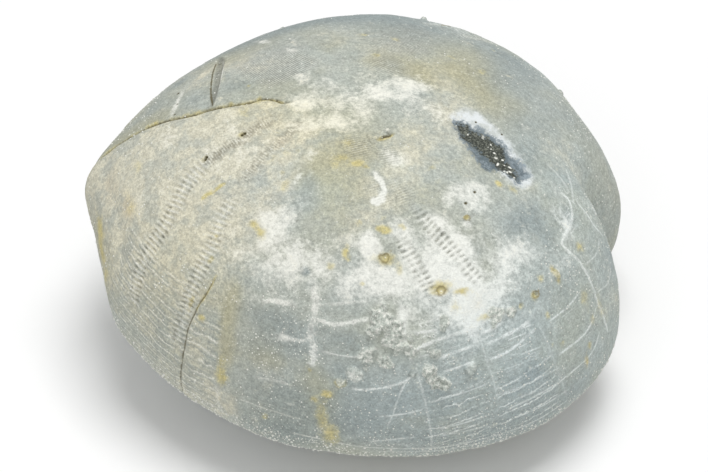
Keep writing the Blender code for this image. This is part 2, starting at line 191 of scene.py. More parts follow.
# Crusts and lumps stuck to the skin: bearing, polar angle, radius, height, roughness.
LUMPS = (
    (-57.0, 70.8, 1.15, 1.0, 0.22),
    (-65.0, 69.3, 1.2, 0.8, 0.6),
    (-64.4, 73.0, 1.2, 0.9, 0.6),
    (-62.6, 73.3, 1.1, 0.9, 0.6),
    (-63.8, 65.8, 1.0, 0.5, 0.7),
    (-73.8, 55.9, 1.8, 0.6, 0.7),
    (-71.7, 58.9, 1.8, 0.65, 0.7),
    (-71.0, 62.3, 1.9, 0.6, 0.7),
    (-75.3, 59.3, 1.2, 0.5, 0.7),
    (-68.9, 64.6, 1.0, 0.4, 0.7),
    (-77.6, 66.6, 1.6, 0.5, 0.7),
    (-74.5, 66.4, 1.4, 0.45, 0.7),
    (-80.8, 70.8, 1.5, 0.7, 0.3),
    (-68.6, 70.3, 0.6, 0.5, 0.2),
    (-59.8, 58.1, 1.2, 0.4, 0.7),
    (-49.2, 60.1, 1.5, 0.35, 0.6),
    (-45.5, 60.3, 0.9, 0.3, 0.6),
    (-32.2, 58.3, 0.9, 0.45, 0.2),
    (-31.3, 11.0, 0.5, 0.4, 0.0),
    (-83.7, 73.4, 0.8, 0.5, 0.4),
    (68.0, 48.5, 0.7, 0.45, 0.4),
    (111.2, 41.0, 0.6, 0.3, 0.3),
    (32.0, 62.0, 0.6, 0.3, 0.3),
    (96.0, 84.0, 1.7, 0.7, 0.7),
    (102.0, 87.0, 1.4, 0.6, 0.7),
    (99.0, 89.5, 1.2, 0.5, 0.7),
    (20.0, 96.0, 1.3, 0.6, 0.6),
    (150.0, 74.0, 1.2, 0.5, 0.6),
)

# Small pits and craters: bearing, polar angle, radius, depth, height of the rim.
PITS = (
    (-146.8, 19.7, 0.26, 0.5, 0.0),
    (-146.6, 20.5, 0.24, 0.45, 0.08),
    (-147.9, 31.3, 0.24, 0.45, 0.0),
    (-147.2, 31.9, 0.26, 0.45, 0.06),
    (-107.8, 22.3, 0.5, 0.2, 0.05),
    (-105.9, 14.8, 0.6, 0.05, 0.12),
    (-69.2, 40.5, 0.62, 0.22, 0.20),
    (-58.3, 50.1, 0.66, 0.22, 0.20),
    (-60.2, 49.2, 0.45, 0.1, 0.05),
    (-38.9, 59.2, 0.5, 0.3, 0.2),
    (-42.9, 59.9, 0.45, 0.2, 0.1),
    (-68.5, 33.6, 0.35, 0.2, 0.0),
    (-41.7, 35.5, 0.4, 0.1, 0.2),
    (-36.5, 21.4, 0.5, 0.2, 0.08),
    (-28.0, 53.5, 0.4, 0.15, 0.15),
    (-35.1, 41.7, 0.4, 0.12, 0.15),
    (-39.8, 42.4, 0.4, 0.12, 0.15),
    (166.1, 41.9, 0.24, 0.35, 0.0),
    (174.3, 39.4, 0.22, 0.3, 0.0),
    (-179.2, 38.9, 0.2, 0.25, 0.0),
    (142.8, 38.2, 0.3, 0.5, 0.0),
    (-2.8, 24.2, 0.17, 0.25, 0.0),
    (-4.9, 29.7, 0.17, 0.25, 0.0),
    (-33.0, 31.3, 0.25, 0.25, 0.0),
    (-38.3, 32.3, 0.28, 0.25, 0.0),
    (60.0, 45.0, 0.6, 0.4, 0.2),
    (95.0, 62.0, 0.7, 0.4, 0.2),
    (128.0, 66.0, 0.5, 0.35, 0.15),
)

RINGED_RIM = 0.2                # craters with a rim this high have a dark ring
SHADED_PIT_DEPTH = 0.22              # pits deeper than this, with a lower rim, have painted shade in them

# ---- Mouth, vent and smooth bands, as on the solid --------------------------
MOUTH_DISTANCE = 24.0 * MM
MOUTH_HALF_LENGTH = 4.0 * MM
MOUTH_HALF_WIDTH = 6.5 * MM
MOUTH_DEPTH = 2.2 * MM
LIP_HEIGHT = 0.9 * MM
VENT_POLAR = 97.0
VENT_HALF_WIDTH = 3.4 * MM
VENT_HALF_HEIGHT = 5.0 * MM
VENT_DEPTH = 1.8 * MM
TRACK_BEARING = 138.0
TRACK_DEPTH = 0.5 * MM
TRACK_HALF_WIDTH = 4.0 * MM


# ---- Small tools ------------------------------------------------------------
def wrapped(angle):
    """An angle brought into -pi..pi."""
    return (angle + math.pi) % (2 * math.pi) - math.pi


def bell(distance, width):
    """1 on the middle line, falling away smoothly over about the width."""
    return np.exp(-(distance / width) ** 2)


def ramp(value, low, high):
    """0 below low, 1 above high, and smooth between."""
    t = np.clip((value - low) / (high - low), 0.0, 1.0)
    return t * t * (3.0 - 2.0 * t)


def plateau(value, rise, fall):
    """0 to 1 over the rise, 1 after it, and back to 0 over the fall."""
    return ramp(value, *rise) * (1.0 - ramp(value, *fall))


def lattice(corner, seed):
    """A fixed random value from -1 to 1 for every whole-number place."""
    x, y, z = corner[..., 0], corner[..., 1], corner[..., 2]
    mixed = (x * 73856093) ^ (y * 19349663) ^ (z * 83492791) ^ (seed * 2654435761)
    mixed = (mixed ^ (mixed >> 13)) * 1274126177
    mixed = (mixed ^ (mixed >> 16)) & 0xFFFF
    return mixed / 32767.5 - 1.0


def noise(points, size, seed):
    """Smooth random values from -1 to 1 that change over about the given length."""
    cells = points / size
    corner = np.floor(cells).astype(np.int64)
    part = cells - corner
    part = part * part * (3.0 - 2.0 * part)
    total = np.zeros(len(points))
    for step in range(8):
        offset = np.array((step & 1, (step >> 1) & 1, step >> 2))
        weight = np.where(offset, part, 1.0 - part).prod(axis=1)
        total += weight * lattice(corner + offset, seed)
    return total


def rough(points, size, seed, layers=3):
    """Layers of noise, each half the size and half the height of the one before."""
    total = np.zeros(len(points))
    for layer in range(layers):
        total += 0.5 ** layer * noise(points, size * 0.5 ** layer, seed + layer)
    return total


# ---- The form ---------------------------------------------------------------
def plan_radius(bearing):
    """Distance from the pole axis to the outline seen from above."""
    along = np.abs(np.cos(bearing) / PLAN_HALF_LENGTH) ** PLAN_POWER
    across = np.abs(np.sin(bearing) / PLAN_HALF_WIDTH) ** PLAN_POWER
    shape = 1.0 + PLAN_FRONT_PULL * np.cos(bearing)
    shape += PLAN_HEART * np.cos(3.0 * bearing)
    shape += PLAN_SKEW * np.sin(3.0 * bearing)
    return shape * (along + across) ** (-1.0 / PLAN_POWER)


def form(bearing, polar):
    """Points of the plain form."""
    from_rear = wrapped(bearing - math.radians(REAR_BEARING))
    edge = EDGE_HEIGHT + EDGE_TILT * np.cos(bearing)
    edge += REAR_EDGE_RISE * bell(from_rear, math.radians(REAR_EDGE_SPREAD))
    top = HEIGHT + BASE_CUT
    upper = polar < 0.5 * math.pi
    lower = ramp(polar, *np.radians(EDGE_ROUNDING))
    power = 2.0 + (DOME_POWER - 2.0 + DOME_POWER_FRONT * np.cos(bearing)) * (1.0 - lower)
    share = np.clip(np.sin(polar), 0.0, 1.0) ** (2.0 / power)
    rise = np.sign(np.cos(polar)) * np.abs(np.cos(polar)) ** (2.0 / power)
    half_height = (top - edge) * (1.0 - lower) + edge * lower
    z = edge + half_height * rise

    from_groove = wrapped(bearing - math.radians(GROOVE_BEARING))
    groove = (1.0 + (from_groove / math.radians(GROOVE_SPREAD)) ** 2) ** -1.5
    downwards = ramp(polar, math.radians(GROOVE_START), 0.5 * math.pi)
    inwards = 1.0 - ramp(polar, 0.5 * math.pi, math.pi)
    reach = plan_radius(bearing) * share
    reach = reach - GROOVE_DEPTH * groove * np.where(upper, downwards, inwards)
    for middle, level, spread, level_spread, height in SWELLINGS:
        around = bell(wrapped(bearing - math.radians(middle)), math.radians(spread))
        above = bell(polar - math.radians(level), math.radians(level_spread))
        reach = reach + height * around * above
    reach = np.maximum(reach, 0.0)
    x = reach * np.cos(bearing) + APEX_SHIFT * np.where(upper, 1.0 - share, 0.0)
    return np.stack((x, reach * np.sin(bearing), z), axis=-1)


def angles(ball):
    """Bearing and polar angle of points on the unit ball."""
    return np.arctan2(ball[:, 1], ball[:, 0]), np.arccos(np.clip(ball[:, 2], -1.0, 1.0))


def place(bearing_degrees, polar_degrees):
    """Points of the plain form, from angles in degrees."""
    bearing = np.radians(np.atleast_1d(np.asarray(bearing_degrees, dtype=float)))
    polar = np.radians(np.atleast_1d(np.asarray(polar_degrees, dtype=float)))
    return form(bearing, polar)


def from_place(points, bearing_degrees, polar_degrees):
    """Distance of each point from a place on the form."""
    return np.linalg.norm(points - place(bearing_degrees, polar_degrees), axis=1)


def local_axes(bearing_degrees, polar_degrees):
    """A place on the form with its directions: rightwards round it, down it, and out of it."""
    spot = place(bearing_degrees, polar_degrees)[0]
    right = place(bearing_degrees + 0.5, polar_degrees)[0] - spot
    down = place(bearing_degrees, polar_degrees + 0.5)[0] - spot
    right /= np.linalg.norm(right)
    out = np.cross(down, right)
    out /= np.linalg.norm(out)
    return spot, right, np.cross(right, out), out


def drawn_flat(path, steps=6):
    """A smooth line through a path's corners, on a flat map with the apex in the middle."""
    corners = np.radians(np.array(path, dtype=float))
    flat = corners[:, 1:] * np.column_stack((np.cos(corners[:, 0]), np.sin(corners[:, 0])))
    ends = np.vstack((2 * flat[0] - flat[1], flat, 2 * flat[-1] - flat[-2]))
    if path[0] == path[-1]:
        ends[0], ends[-1] = flat[-2], flat[1]
    rows = []
    for before, start, end, after in zip(ends[:-3], ends[1:-2], ends[2:-1], ends[3:]):
        for t in np.arange(steps) / steps:
            rows.append(0.5 * (2 * start + (end - before) * t
                               + (2 * before - 5 * start + 4 * end - after) * t ** 2
                               + (3 * start - before - 3 * end + after) * t ** 3))
    rows.append(flat[-1])
    return np.array(rows)


def drawn(path):
    """The same line on the form."""
    line = drawn_flat(path)
    return form(np.arctan2(line[:, 1], line[:, 0]), np.hypot(line[:, 0], line[:, 1]))


def beside_path(points, path, reach):
    """Signed distance to a drawn line and the length along it, for points within reach of it.

    Farther points get a distance of twice the reach.  The sign is positive on the right of
    the line, going along it and looking at the skin from outside.
    """
    line = drawn(path)
    across = np.full(len(points), 2.0 * reach)
    along = np.zeros(len(points))
    low, high = line.min(axis=0) - reach, line.max(axis=0) + reach
    near = np.flatnonzero(np.all((points > low) & (points < high), axis=1))
    if not len(near):
        return across, along
    spots = points[near]
    best = np.full(len(near), np.inf)
    signed = np.zeros(len(near))
    length = np.zeros(len(near))
    inside = np.array((0.0, 0.0, EDGE_HEIGHT))
    walked = 0.0
    for start, end in zip(line[:-1], line[1:]):
        run = end - start
        size = np.linalg.norm(run)
        share = np.clip((spots - start) @ run / size ** 2, 0.0, 1.0)
        offset = spots - (start + share[:, None] * run)
        distance = np.linalg.norm(offset, axis=1)
        closer = distance < best
        best[closer] = distance[closer]
        right = np.cross(run, 0.5 * (start + end) - inside)
        signed[closer] = np.where(offset[closer] @ right > 0.0, distance[closer], -distance[closer])
        length[closer] = walked + share[closer] * size
        walked += size
    found = best < reach
    across[near[found]] = signed[found]
    along[near[found]] = length[found]
    return across, along


def inside_outline(points, bearing, polar, outline, reach=4.0 * MM):
    """How far inside a closed outline each point is; negative outside it."""
    closed = outline + (outline[0],)
    distance = np.minimum(np.abs(beside_path(points, closed, reach)[0]), reach)
    line = drawn_flat(closed)
    x, y = polar * np.cos(bearing), polar * np.sin(bearing)
    inside = np.zeros(len(points), dtype=bool)
    for start, end in zip(line[:-1], line[1:]):
        if start[1] != end[1]:
            crossed = (start[1] > y) != (end[1] > y)
            at = start[0] + (y - start[1]) * (end[0] - start[0]) / (end[1] - start[1])
            inside ^= crossed & (x < at)
    return np.where(inside, distance, -distance)


def path_length(path):
    """Length of a drawn line."""
    return np.linalg.norm(np.diff(drawn(path), axis=0), axis=1).sum()


# ---- The skin: triangles no longer than the detail there needs --------------
def wanted_edge(points, polar):
    """The longest edge that the skin may have at each point."""
    under = ramp(polar, *UNDERSIDE)
    wanted = EDGE_SEEN + (EDGE_UNDER - EDGE_SEEN) * under
    far = ramp(points[:, 1], 5.0 * MM, 20.0 * MM)
    wanted += 0.5 * (EDGE_UNDER - EDGE_SEEN) * far * (1.0 - under)
    reach = 6.0 * MM

    def finer(distance, width, edge):
        grown = edge + EDGE_GROWTH * np.maximum(distance - width, 0.0)
        np.minimum(wanted, grown, out=wanted)

    for path, gap, _, start, end, _, _ in ZONES:
        across, along = beside_path(points, path, reach)
        outside = np.maximum(start - along, along - end)
        distance = np.maximum(np.abs(across), outside)
        finer(distance, 0.5 * gap + PORE_LENGTH, EDGE_PORES)
    for path in (CRACK, SIDE_CRACK, SMALL_CRACK, GROOVE + GROOVE[:1]):
        finer(np.abs(beside_path(points, path, reach)[0]), CRACK_REACH, EDGE_CRACK)
    hollow = HOLLOW + HOLLOW[:1]
    finer(np.abs(beside_path(points, hollow, reach)[0]), HOLLOW_REACH, EDGE_HOLLOW)
    for bearing, level, radius, _, _ in LUMPS:
        finer(from_place(points, bearing, level), 1.2 * radius * MM, EDGE_CRUST)
    for bearing, level, radius, _, _ in PITS:
        edge = min(EDGE_PITS, 0.65 * radius * MM)
        finer(from_place(points, bearing, level), 1.5 * radius * MM, edge)
    finer(from_place(points, REAR_BEARING, VENT_POLAR), VENT_REACH, EDGE_OPENING)
    return wanted


def split_long_edges(ball, triangles):
    """Cut triangles across their longest edge until every edge is as short as is wanted there."""
    points = form(*angles(ball))
    wanted = wanted_edge(points, angles(ball)[1])
    while True:
        count = len(ball)
        sides = np.stack((triangles, np.roll(triangles, -1, axis=1)), axis=-1)
        sides = np.sort(sides, axis=-1)
        keys, index = np.unique(sides[..., 0] * count + sides[..., 1], return_inverse=True)
        index = index.reshape(-1, 3)
        first, second = keys // count, keys % count
        length = np.linalg.norm(points[first] - points[second], axis=1)
        cut = length > np.minimum(wanted[first], wanted[second])
        if not cut.any():
            return ball, triangles
        turn = np.argmax(length[index], axis=1)
        longest = index[np.arange(len(index)), turn]
        while True:
            open_side = cut[index].any(axis=1) & ~cut[longest]
            if not open_side.any():
                break
            cut[longest[open_side]] = True
        number = np.full(len(keys), -1)
        number[cut] = count + np.arange(cut.sum())
        middle = ball[first[cut]] + ball[second[cut]]
        middle /= np.linalg.norm(middle, axis=1, keepdims=True)
        ball = np.vstack((ball, middle))
        added = form(*angles(middle))
        points = np.vstack((points, added))
        wanted = np.concatenate((wanted, wanted_edge(added, angles(middle)[1])))

        order = (turn[:, None] + np.arange(3)) % 3
        corner = np.take_along_axis(triangles, order, axis=1)
        side = number[np.take_along_axis(index, order, axis=1)]
        whole = side[:, 0] < 0
        a, b, c = corner.T
        m, n, p = side.T
        pieces = [triangles[whole]]
        cases = (
            (~whole & (p < 0), (a, m, c)),
            (~whole & (p >= 0), (a, m, p)),
            (~whole & (p >= 0), (p, m, c)),
            (~whole & (n < 0), (m, b, c)),
            (~whole & (n >= 0), (m, b, n)),
            (~whole & (n >= 0), (m, n, c)),
        )
        for chosen, names in cases:
            pieces.append(np.column_stack([name[chosen] for name in names]))
        triangles = np.vstack(pieces)


def evened(ball, triangles, rounds):
    """Move each point a little towards the middle of its neighbours."""
    starts = np.concatenate((triangles[:, 0], triangles[:, 1], triangles[:, 2]))
    ends = np.concatenate((triangles[:, 1], triangles[:, 2], triangles[:, 0]))
    shared = np.bincount(starts, minlength=len(ball))
    for _ in range(rounds):
        middle = np.column_stack([np.bincount(starts, weights=ball[ends, axis], minlength=len(ball))
                                  for axis in range(3)]) / shared[:, None]
        ball = 0.5 * ball + 0.5 * middle
        ball /= np.linalg.norm(ball, axis=1, keepdims=True)
    return ball


def fine_skin():
    """Points on the unit ball, and triangles, as fine as the detail needs."""
    start = bmesh.new()
    bmesh.ops.create_icosphere(start, subdivisions=5, radius=1.0)
    ball = np.array([vert.co[:] for vert in start.verts])
    triangles = np.array([[vert.index for vert in face.verts] for face in start.faces])
    start.free()
    ball /= np.linalg.norm(ball, axis=1, keepdims=True)
    ball, triangles = split_long_edges(ball, triangles)
    return evened(ball, triangles, 3), triangles


def point_normals(points, triangles):
    """Outward direction at every point of a mesh."""
    a, b, c = points[triangles[:, 0]], points[triangles[:, 1]], points[triangles[:, 2]]
    facing = np.cross(b - a, c - a)
    total = np.zeros(points.shape)
    for corner in range(3):
        for axis in range(3):
            total[:, axis] += np.bincount(triangles[:, corner], weights=facing[:, axis],
                                          minlength=len(points))
    return total / np.linalg.norm(total, axis=1, keepdims=True)


# ---- Relief: how far each point moves out along its normal ------------------
def pore_relief(points):
    """Pores in paired rows, with the painted shade in them and the ridges between them."""
    relief = np.zeros(len(points))
    pore_shade = np.zeros(len(points))
    ridges = np.zeros(len(points))
    for path, gap, pitch, start, end, depth, shade in ZONES:
        across, along = beside_path(points, path, ZONE_REACH)
        shown = plateau(along, (start, start + ZONE_RISE), (end - ZONE_FALL, end))
        wander = 1.0 + 0.65 * noise(points, 1.6 * MM, SEED)
        phase = (along / pitch + 0.22 * noise(points, 2.4 * MM, SEED + 1)) % 1.0 - 0.5
        opened = np.zeros(len(points))
        for row in (-0.5, 0.5):
            lying = np.hypot((across - row * gap) / PORE_LENGTH, phase * pitch / PORE_WIDTH)
            opened = np.maximum(opened, 1.0 - ramp(lying, 0.35, 1.35))
        ridge = shown * bell(across, 0.5 * gap + PORE_LENGTH) * ramp(np.abs(phase), 0.24, 0.42)
        relief -= shown * wander * depth * opened
        relief -= shown * ZONE_SINK * bell(across, 0.5 * gap + PORE_LENGTH)
        relief += RIDGE_HEIGHT * ridge
        # painted shade in the open pores, as dark as the zone's shade number
        pore_shade = np.maximum(pore_shade, shown * shade * wander * opened)
        ridges = np.maximum(ridges, ridge)
    return relief, pore_shade, ridges


def crack_relief(points, in_groove):
    """The broken line over the rear with its ledge, the groove, and the smaller cracks."""
    across, _ = beside_path(points, CRACK, 5.0 * CRACK_STEP_REACH)
    distance = np.abs(across)
    rear = points[:, 0] < 0.0
    ledge = 0.5 * CRACK_STEP * np.exp(-distance / CRACK_STEP_REACH) * rear
    relief = -ledge * np.tanh(across / (0.6 * CRACK_WIDTH))
    relief -= CRACK_DEPTH * bell(distance, CRACK_WIDTH)
    relief -= GROOVE_CUT * ramp(in_groove, -0.2 * MM, 0.35 * MM)
    for path, width, depth in ((SIDE_CRACK, SIDE_CRACK_WIDTH, SIDE_CRACK_DEPTH),
                               (SMALL_CRACK, SIDE_CRACK_WIDTH, SIDE_CRACK_DEPTH),
                               (REAR_CREASE, REAR_CREASE_WIDTH, REAR_CREASE_DEPTH)):
        relief -= depth * bell(beside_path(points, path, 3.0 * width)[0], width)
    return relief


def spot_relief(points):
    """Crusts and lumps with steep sides, pits with low rims, the crusts' cover, and painted shade in the
    crusts' low places and painted shadow below the steep lumps.
    """
    relief = np.zeros(len(points))
    crust = np.zeros(len(points))
    foot_shadow = np.zeros(len(points))
    grain = rough(points, 0.62 * MM, SEED + 5)
    edge_wave = rough(points, 1.2 * MM, SEED + 6, 2)
    for bearing, polar, radius, height, roughness in LUMPS:
        size = radius * MM
        distance = from_place(points, bearing, polar) + 0.95 * roughness * size * edge_wave
        lump = height * MM * (1.0 - ramp(distance, 0.60 * size, 1.05 * size))
        lump *= 1.0 + 1.1 * roughness * grain
        relief = np.maximum(relief, lump)
        cover = min(1.0, 2.2 * roughness) * (1.0 - ramp(distance, 0.70 * size, 1.05 * size))
        crust = np.maximum(crust, cover)
        # painted shadow on the lower side of steep smooth lumps
        if height > 0.7 * radius and roughness < 0.3:
            lower = ramp(place(bearing, polar)[0, 2] - points[:, 2], -0.5 * size, 0.4 * size)
            foot_shadow = np.maximum(foot_shadow, lower * bell(distance - 0.98 * size, 0.3 * MM))
    for bearing, polar, radius, depth, rim in PITS:
        size = radius * MM
        distance = from_place(points, bearing, polar)
        relief -= depth * MM * bell(distance, 0.9 * size)
        relief += rim * MM * bell(distance - 1.25 * size, 0.45 * size)
    return relief, crust, np.maximum(0.45 * crust * ramp(-grain, -0.1, 0.7), foot_shadow)


def opening_relief(points, bearing, polar):
    """Mouth and lip below, vent at the rear, and the smooth bands of the underside."""
    under = ramp(polar, 0.55 * math.pi, 0.75 * math.pi)
    from_mouth = points[:, 0] - MOUTH_DISTANCE
    oval = np.hypot(from_mouth / MOUTH_HALF_LENGTH, points[:, 1] / MOUTH_HALF_WIDTH)
    relief = -MOUTH_DEPTH * under * (1.0 - ramp(oval, 0.5, 1.1))
    behind = bell(from_mouth + 1.5 * MOUTH_HALF_LENGTH, 0.5 * MOUTH_HALF_LENGTH)
    relief += LIP_HEIGHT * under * behind * bell(points[:, 1], 0.8 * MOUTH_HALF_WIDTH)
    vent = place(REAR_BEARING, VENT_POLAR)[0]
    rear = np.cos(bearing) < 0.0
    oval = np.hypot((points[:, 1] - vent[1]) / VENT_HALF_WIDTH,
                    (points[:, 2] - vent[2]) / VENT_HALF_HEIGHT)
    relief -= VENT_DEPTH * rear * (1.0 - ramp(oval, 0.5, 1.1))
    for turn in (-1.0, 1.0):
        from_band = wrapped(bearing - math.radians(turn * TRACK_BEARING))
        across = np.hypot(points[:, 0], points[:, 1]) * from_band
        relief -= TRACK_DEPTH * under * rear * bell(across, TRACK_HALF_WIDTH)
    return relief


# ---- Colour: soft stains, drawn lines and bands -----------------------------
# Stains: bearing, polar angle, half size round the test and down it in mm, strength.
CREAM = (
    (-165, 28, 9, 9, 0.8), (-158, 45, 10, 9, 0.8), (-168, 62, 9, 9, 0.75), (-172, 78, 8, 7, 0.6),
    (-145, 52, 9, 10, 0.6), (-150, 15, 5, 5, 0.9), (-130, 45, 7, 9, 0.6), (-128, 62, 8, 9, 0.5),
    (-118, 14, 4, 4, 0.65), (-112, 20, 3, 4, 0.7), (-108, 29, 2.5, 5, 0.7), (-113, 41, 5, 5, 0.7),
    (-116, 95, 8, 5, 0.6), (-112, 88, 3, 4, 0.5), (-170, 12, 4, 4, 0.8), (-100, 7, 4, 3, 0.6),
    (20, 20, 6, 2.5, 0.3), (-140, 34, 5, 5, 0.5), (60, 19, 6, 5, 0.25),
    (-20, 78, 5, 7, 0.3), (150, 70, 12, 12, 0.4), (100, 70, 14, 10, 0.3), (-135, 25, 4, 5, 0.6),
    (-60, 24, 3, 4, 0.6), (-30, 16, 5, 4, 0.7), (-15, 24, 4, 4, 0.4), (-45, 21, 3.5, 3, 0.6),
    (0, 18, 5, 4, 0.6), (-103, 15, 3, 3, 0.4), (165, 12, 5, 3, 0.5), (140, 20, 6, 4, 0.45),
    (150, 30, 5, 4, 0.5), (90, 27, 7, 5, 0.2), (-148, 75, 7, 7, 0.5), (-135, 88, 6, 6, 0.35),
    (-20, 38, 3, 3, 0.35), (-100, 76, 5, 4, 0.3), (-72, 31, 3, 3, 0.5), (-120, 78, 4, 7, 0.45),
    (0, 50, 4, 8, 0.4), (-145, 62, 8, 6, 0.4), (158, 37.6, 5.5, 0.9, 0.85),
)
CHALK = (
    (-97, 41, 6, 3.5, 0.35), (-88, 45, 4, 2.5, 0.55), (-105, 36, 4, 3, 0.35), (-101, 45, 5, 2.5, 0.3),
    (-74, 45, 6, 3.5, 0.55), (-75, 37, 3, 2.5, 0.4), (-66, 48, 5, 3, 0.5), (-79, 49, 5, 2.5, 0.4),
    (-62, 34, 2.4, 3, 0.6), (-62.6, 42, 2.4, 4, 0.65), (-57, 60, 6, 4, 0.3), (-48, 64, 6, 4, 0.25),
    (-47, 46, 7, 6, 0.25), (-43, 50, 6, 5, 0.3), (-57, 50, 4, 3.5, 0.5), (-50, 56, 4, 3.5, 0.5),
    (-60, 55, 6, 3, 0.45), (-38, 48, 4, 4, 0.3), (-33, 51, 2.2, 3, 0.25),
    (-36, 32, 3.2, 3.0, 0.4), (-44, 17, 2.2, 2.4, 0.45),
    (-15, 5, 3.5, 2.5, 0.5), (45, 7, 3, 3, 0.3), (15, 9, 3, 3, 0.5), (0, 13, 3, 3, 0.45),
    (25, 14, 4, 2.5, 0.35), (-5, 17, 4, 2, 0.35), (-62, 6, 2.5, 1.6, 0.6), (-98, 6.5, 2.4, 1.8, 0.6),
    (-178, 4, 2.5, 2, 0.45), (-150, 5, 2, 2, 0.4), (-120, 9, 2.5, 2, 0.5), (-35, 7, 2.5, 1.5, 0.5),
    (125, 8, 2, 2, 0.5), (122, 33, 0.9, 3, 0.65), (117, 20, 1.8, 2.4, 0.5), (112, 27, 1.2, 2.4, 0.3),
    (-133, 20, 3, 4, 0.35), (-95, 15, 1.4, 1.4, 0.5), (-101, 25, 0.8, 3.4, 0.45),
    (-20, 49, 1.6, 3.5, 0.45), (-23, 53, 2.0, 2.0, 0.5), (-14, 43, 1.5, 3, 0.35),
    (-9, 36, 2.0, 1.6, 0.25), (0, 32, 2.5, 2, 0.2), (-29, 57, 3.5, 1.5, 0.35), (-10, 60, 2.0, 4, 0.4),
    (-100, 77, 3, 0.7, 0.4), (-80.8, 70.8, 1.4, 1.2, 0.95), (-69, 57, 0.9, 3.0, 0.95),
    (-55, 61.5, 0.7, 2.6, 0.6), (-97, 64.5, 2.4, 0.8, 0.6),
    (-31.3, 11.0, 0.55, 0.5, 1.0), (-66.8, 35.6, 0.5, 0.4, 0.6), (-42.8, 36.6, 0.7, 0.7, 0.7),
    (174, 39.6, 4.2, 0.7, 0.9), (-70.5, 93, 5, 1, 0.35), (-28, 84, 4, 0.8, 0.35),
    (-92, 88, 5, 0.8, 0.3), (-86, 90, 6, 0.7, 0.3), (-104, 56, 5, 2, 0.3), (-101, 50, 6, 2.5, 0.35),
    (-150, 30, 5, 2, 0.35), (-158, 22, 6, 2.5, 0.4), (-165, 40, 4, 3, 0.3), (-152, 52, 4, 4, 0.3),
    (100, 55, 5, 3, 0.4), (58, 44, 5, 4, 0.4), (75, 60, 4, 3, 0.4), (140, 60, 4, 3, 0.35),
    (60, 55, 6, 3, 0.35), (120, 50, 5, 4, 0.4), (-160, 96, 6, 3, 0.3),
)
# Small spots that the chalk leaves bare.
BARE = ((-92.5, 46, 1.0, 0.8, 0.8), (-99.5, 43.5, 0.7, 0.6, 0.5), (-88.5, 47.5, 0.5, 0.4, 0.6))
# Chalky patches with firmer edges: outline, strength, softness of the edge in mm.
PATCHES = (
    (((-60.2, 18.3), (-58, 19.3), (-57.5, 21.2), (-58.6, 23.5), (-60.8, 25.4), (-63.5, 27),
      (-66.2, 27.2), (-67.8, 26.1), (-66.2, 25.4), (-63.5, 25), (-60.9, 22.8), (-60.7, 20.4)), 1.0, 0.3),
    (((-45.2, 13.3), (-43.5, 14.4), (-43.2, 16.3), (-44.8, 18.3), (-48.8, 18.2), (-49.3, 16.4),
      (-48.9, 14.5)), 0.55, 0.9),
    (((-43.3, 28.4), (-36.6, 27.5), (-30.9, 29), (-28.8, 32.4), (-31.2, 35.1), (-35, 36.9),
      (-38.2, 34.9), (-39, 31.1), (-43.5, 31.6), (-45, 29.7)), 0.5, 1.2),
    (((-53.3, 31.5), (-48.5, 32.2), (-46.4, 35.3), (-45.4, 39.5), (-46.5, 44), (-47.3, 48.6),
      (-49.9, 52.5), (-52.9, 55.6), (-55.1, 53.5), (-55.3, 48.1), (-59.9, 47.1), (-60.5, 42.5),
      (-56.3, 37.2)), 0.75, 1.3),
    (((-74.2, 34.5), (-70.7, 33.5), (-69, 36), (-69.8, 39.2), (-73.9, 39.9), (-75, 37.4)), 0.7, 0.7),
    (((-77.4, 43.2), (-71.8, 42.7), (-67.1, 44.4), (-67, 48.3), (-71.5, 49.4), (-76.8, 47.7)), 0.6, 1.0),
    (((-57, 52.4), (-52.2, 52.3), (-49.8, 55.3), (-52.5, 59.7), (-55.2, 61.4), (-56.6, 58.5)), 0.6, 1.0),
    (((-44.5, 41.3), (-38.7, 45.5), (-34.2, 50.6), (-38.2, 54), (-43.9, 55.8), (-48.6, 55.1),
      (-48.2, 50.3)), 0.15, 1.6),
    (((-116, 37.3), (-108.8, 31.8), (-99.7, 29.3), (-94.8, 25.8), (-92.6, 28.8), (-96.8, 32.1),
      (-99.2, 38.5), (-104.8, 41.1), (-110.3, 41.2)), 0.32, 1.6),
    (((-114.1, 45.2), (-106.7, 40.9), (-96.4, 39.3), (-88.9, 39.4), (-85.9, 42.8), (-88.2, 46.3),
      (-94.2, 44.8), (-99.9, 48), (-106, 48.9), (-111.7, 49.3)), 0.35, 1.6),
    (((-121.8, 45.2), (-118.3, 40.9), (-113.7, 42.2), (-113.3, 47.1), (-115.4, 50.6), (-118.7, 49.1)),
     0.22, 1.4),
    (((179.6, 4), (117.2, 4.6), (82.6, 5.6), (52.9, 3.9), (27, 5), (30, 9.4), (27.9, 13.3),
      (21.3, 16.1), (14.8, 17.2), (7.6, 13.2), (2.3, 7.9), (-6.2, 4.7), (-20.2, 3), (-60.8, 5.8),
      (-82.9, 7.4), (-96.2, 3.9), (-122.6, 4.5)), 0.42, 1.0),
    (((7.6, 33.1), (6.2, 36.7), (-0.4, 39.4), (-6.7, 41.6), (-15.2, 40.7), (-15.2, 38.6),
      (-6.6, 36.6), (0, 33.8)), 0.15, 0.9),
)
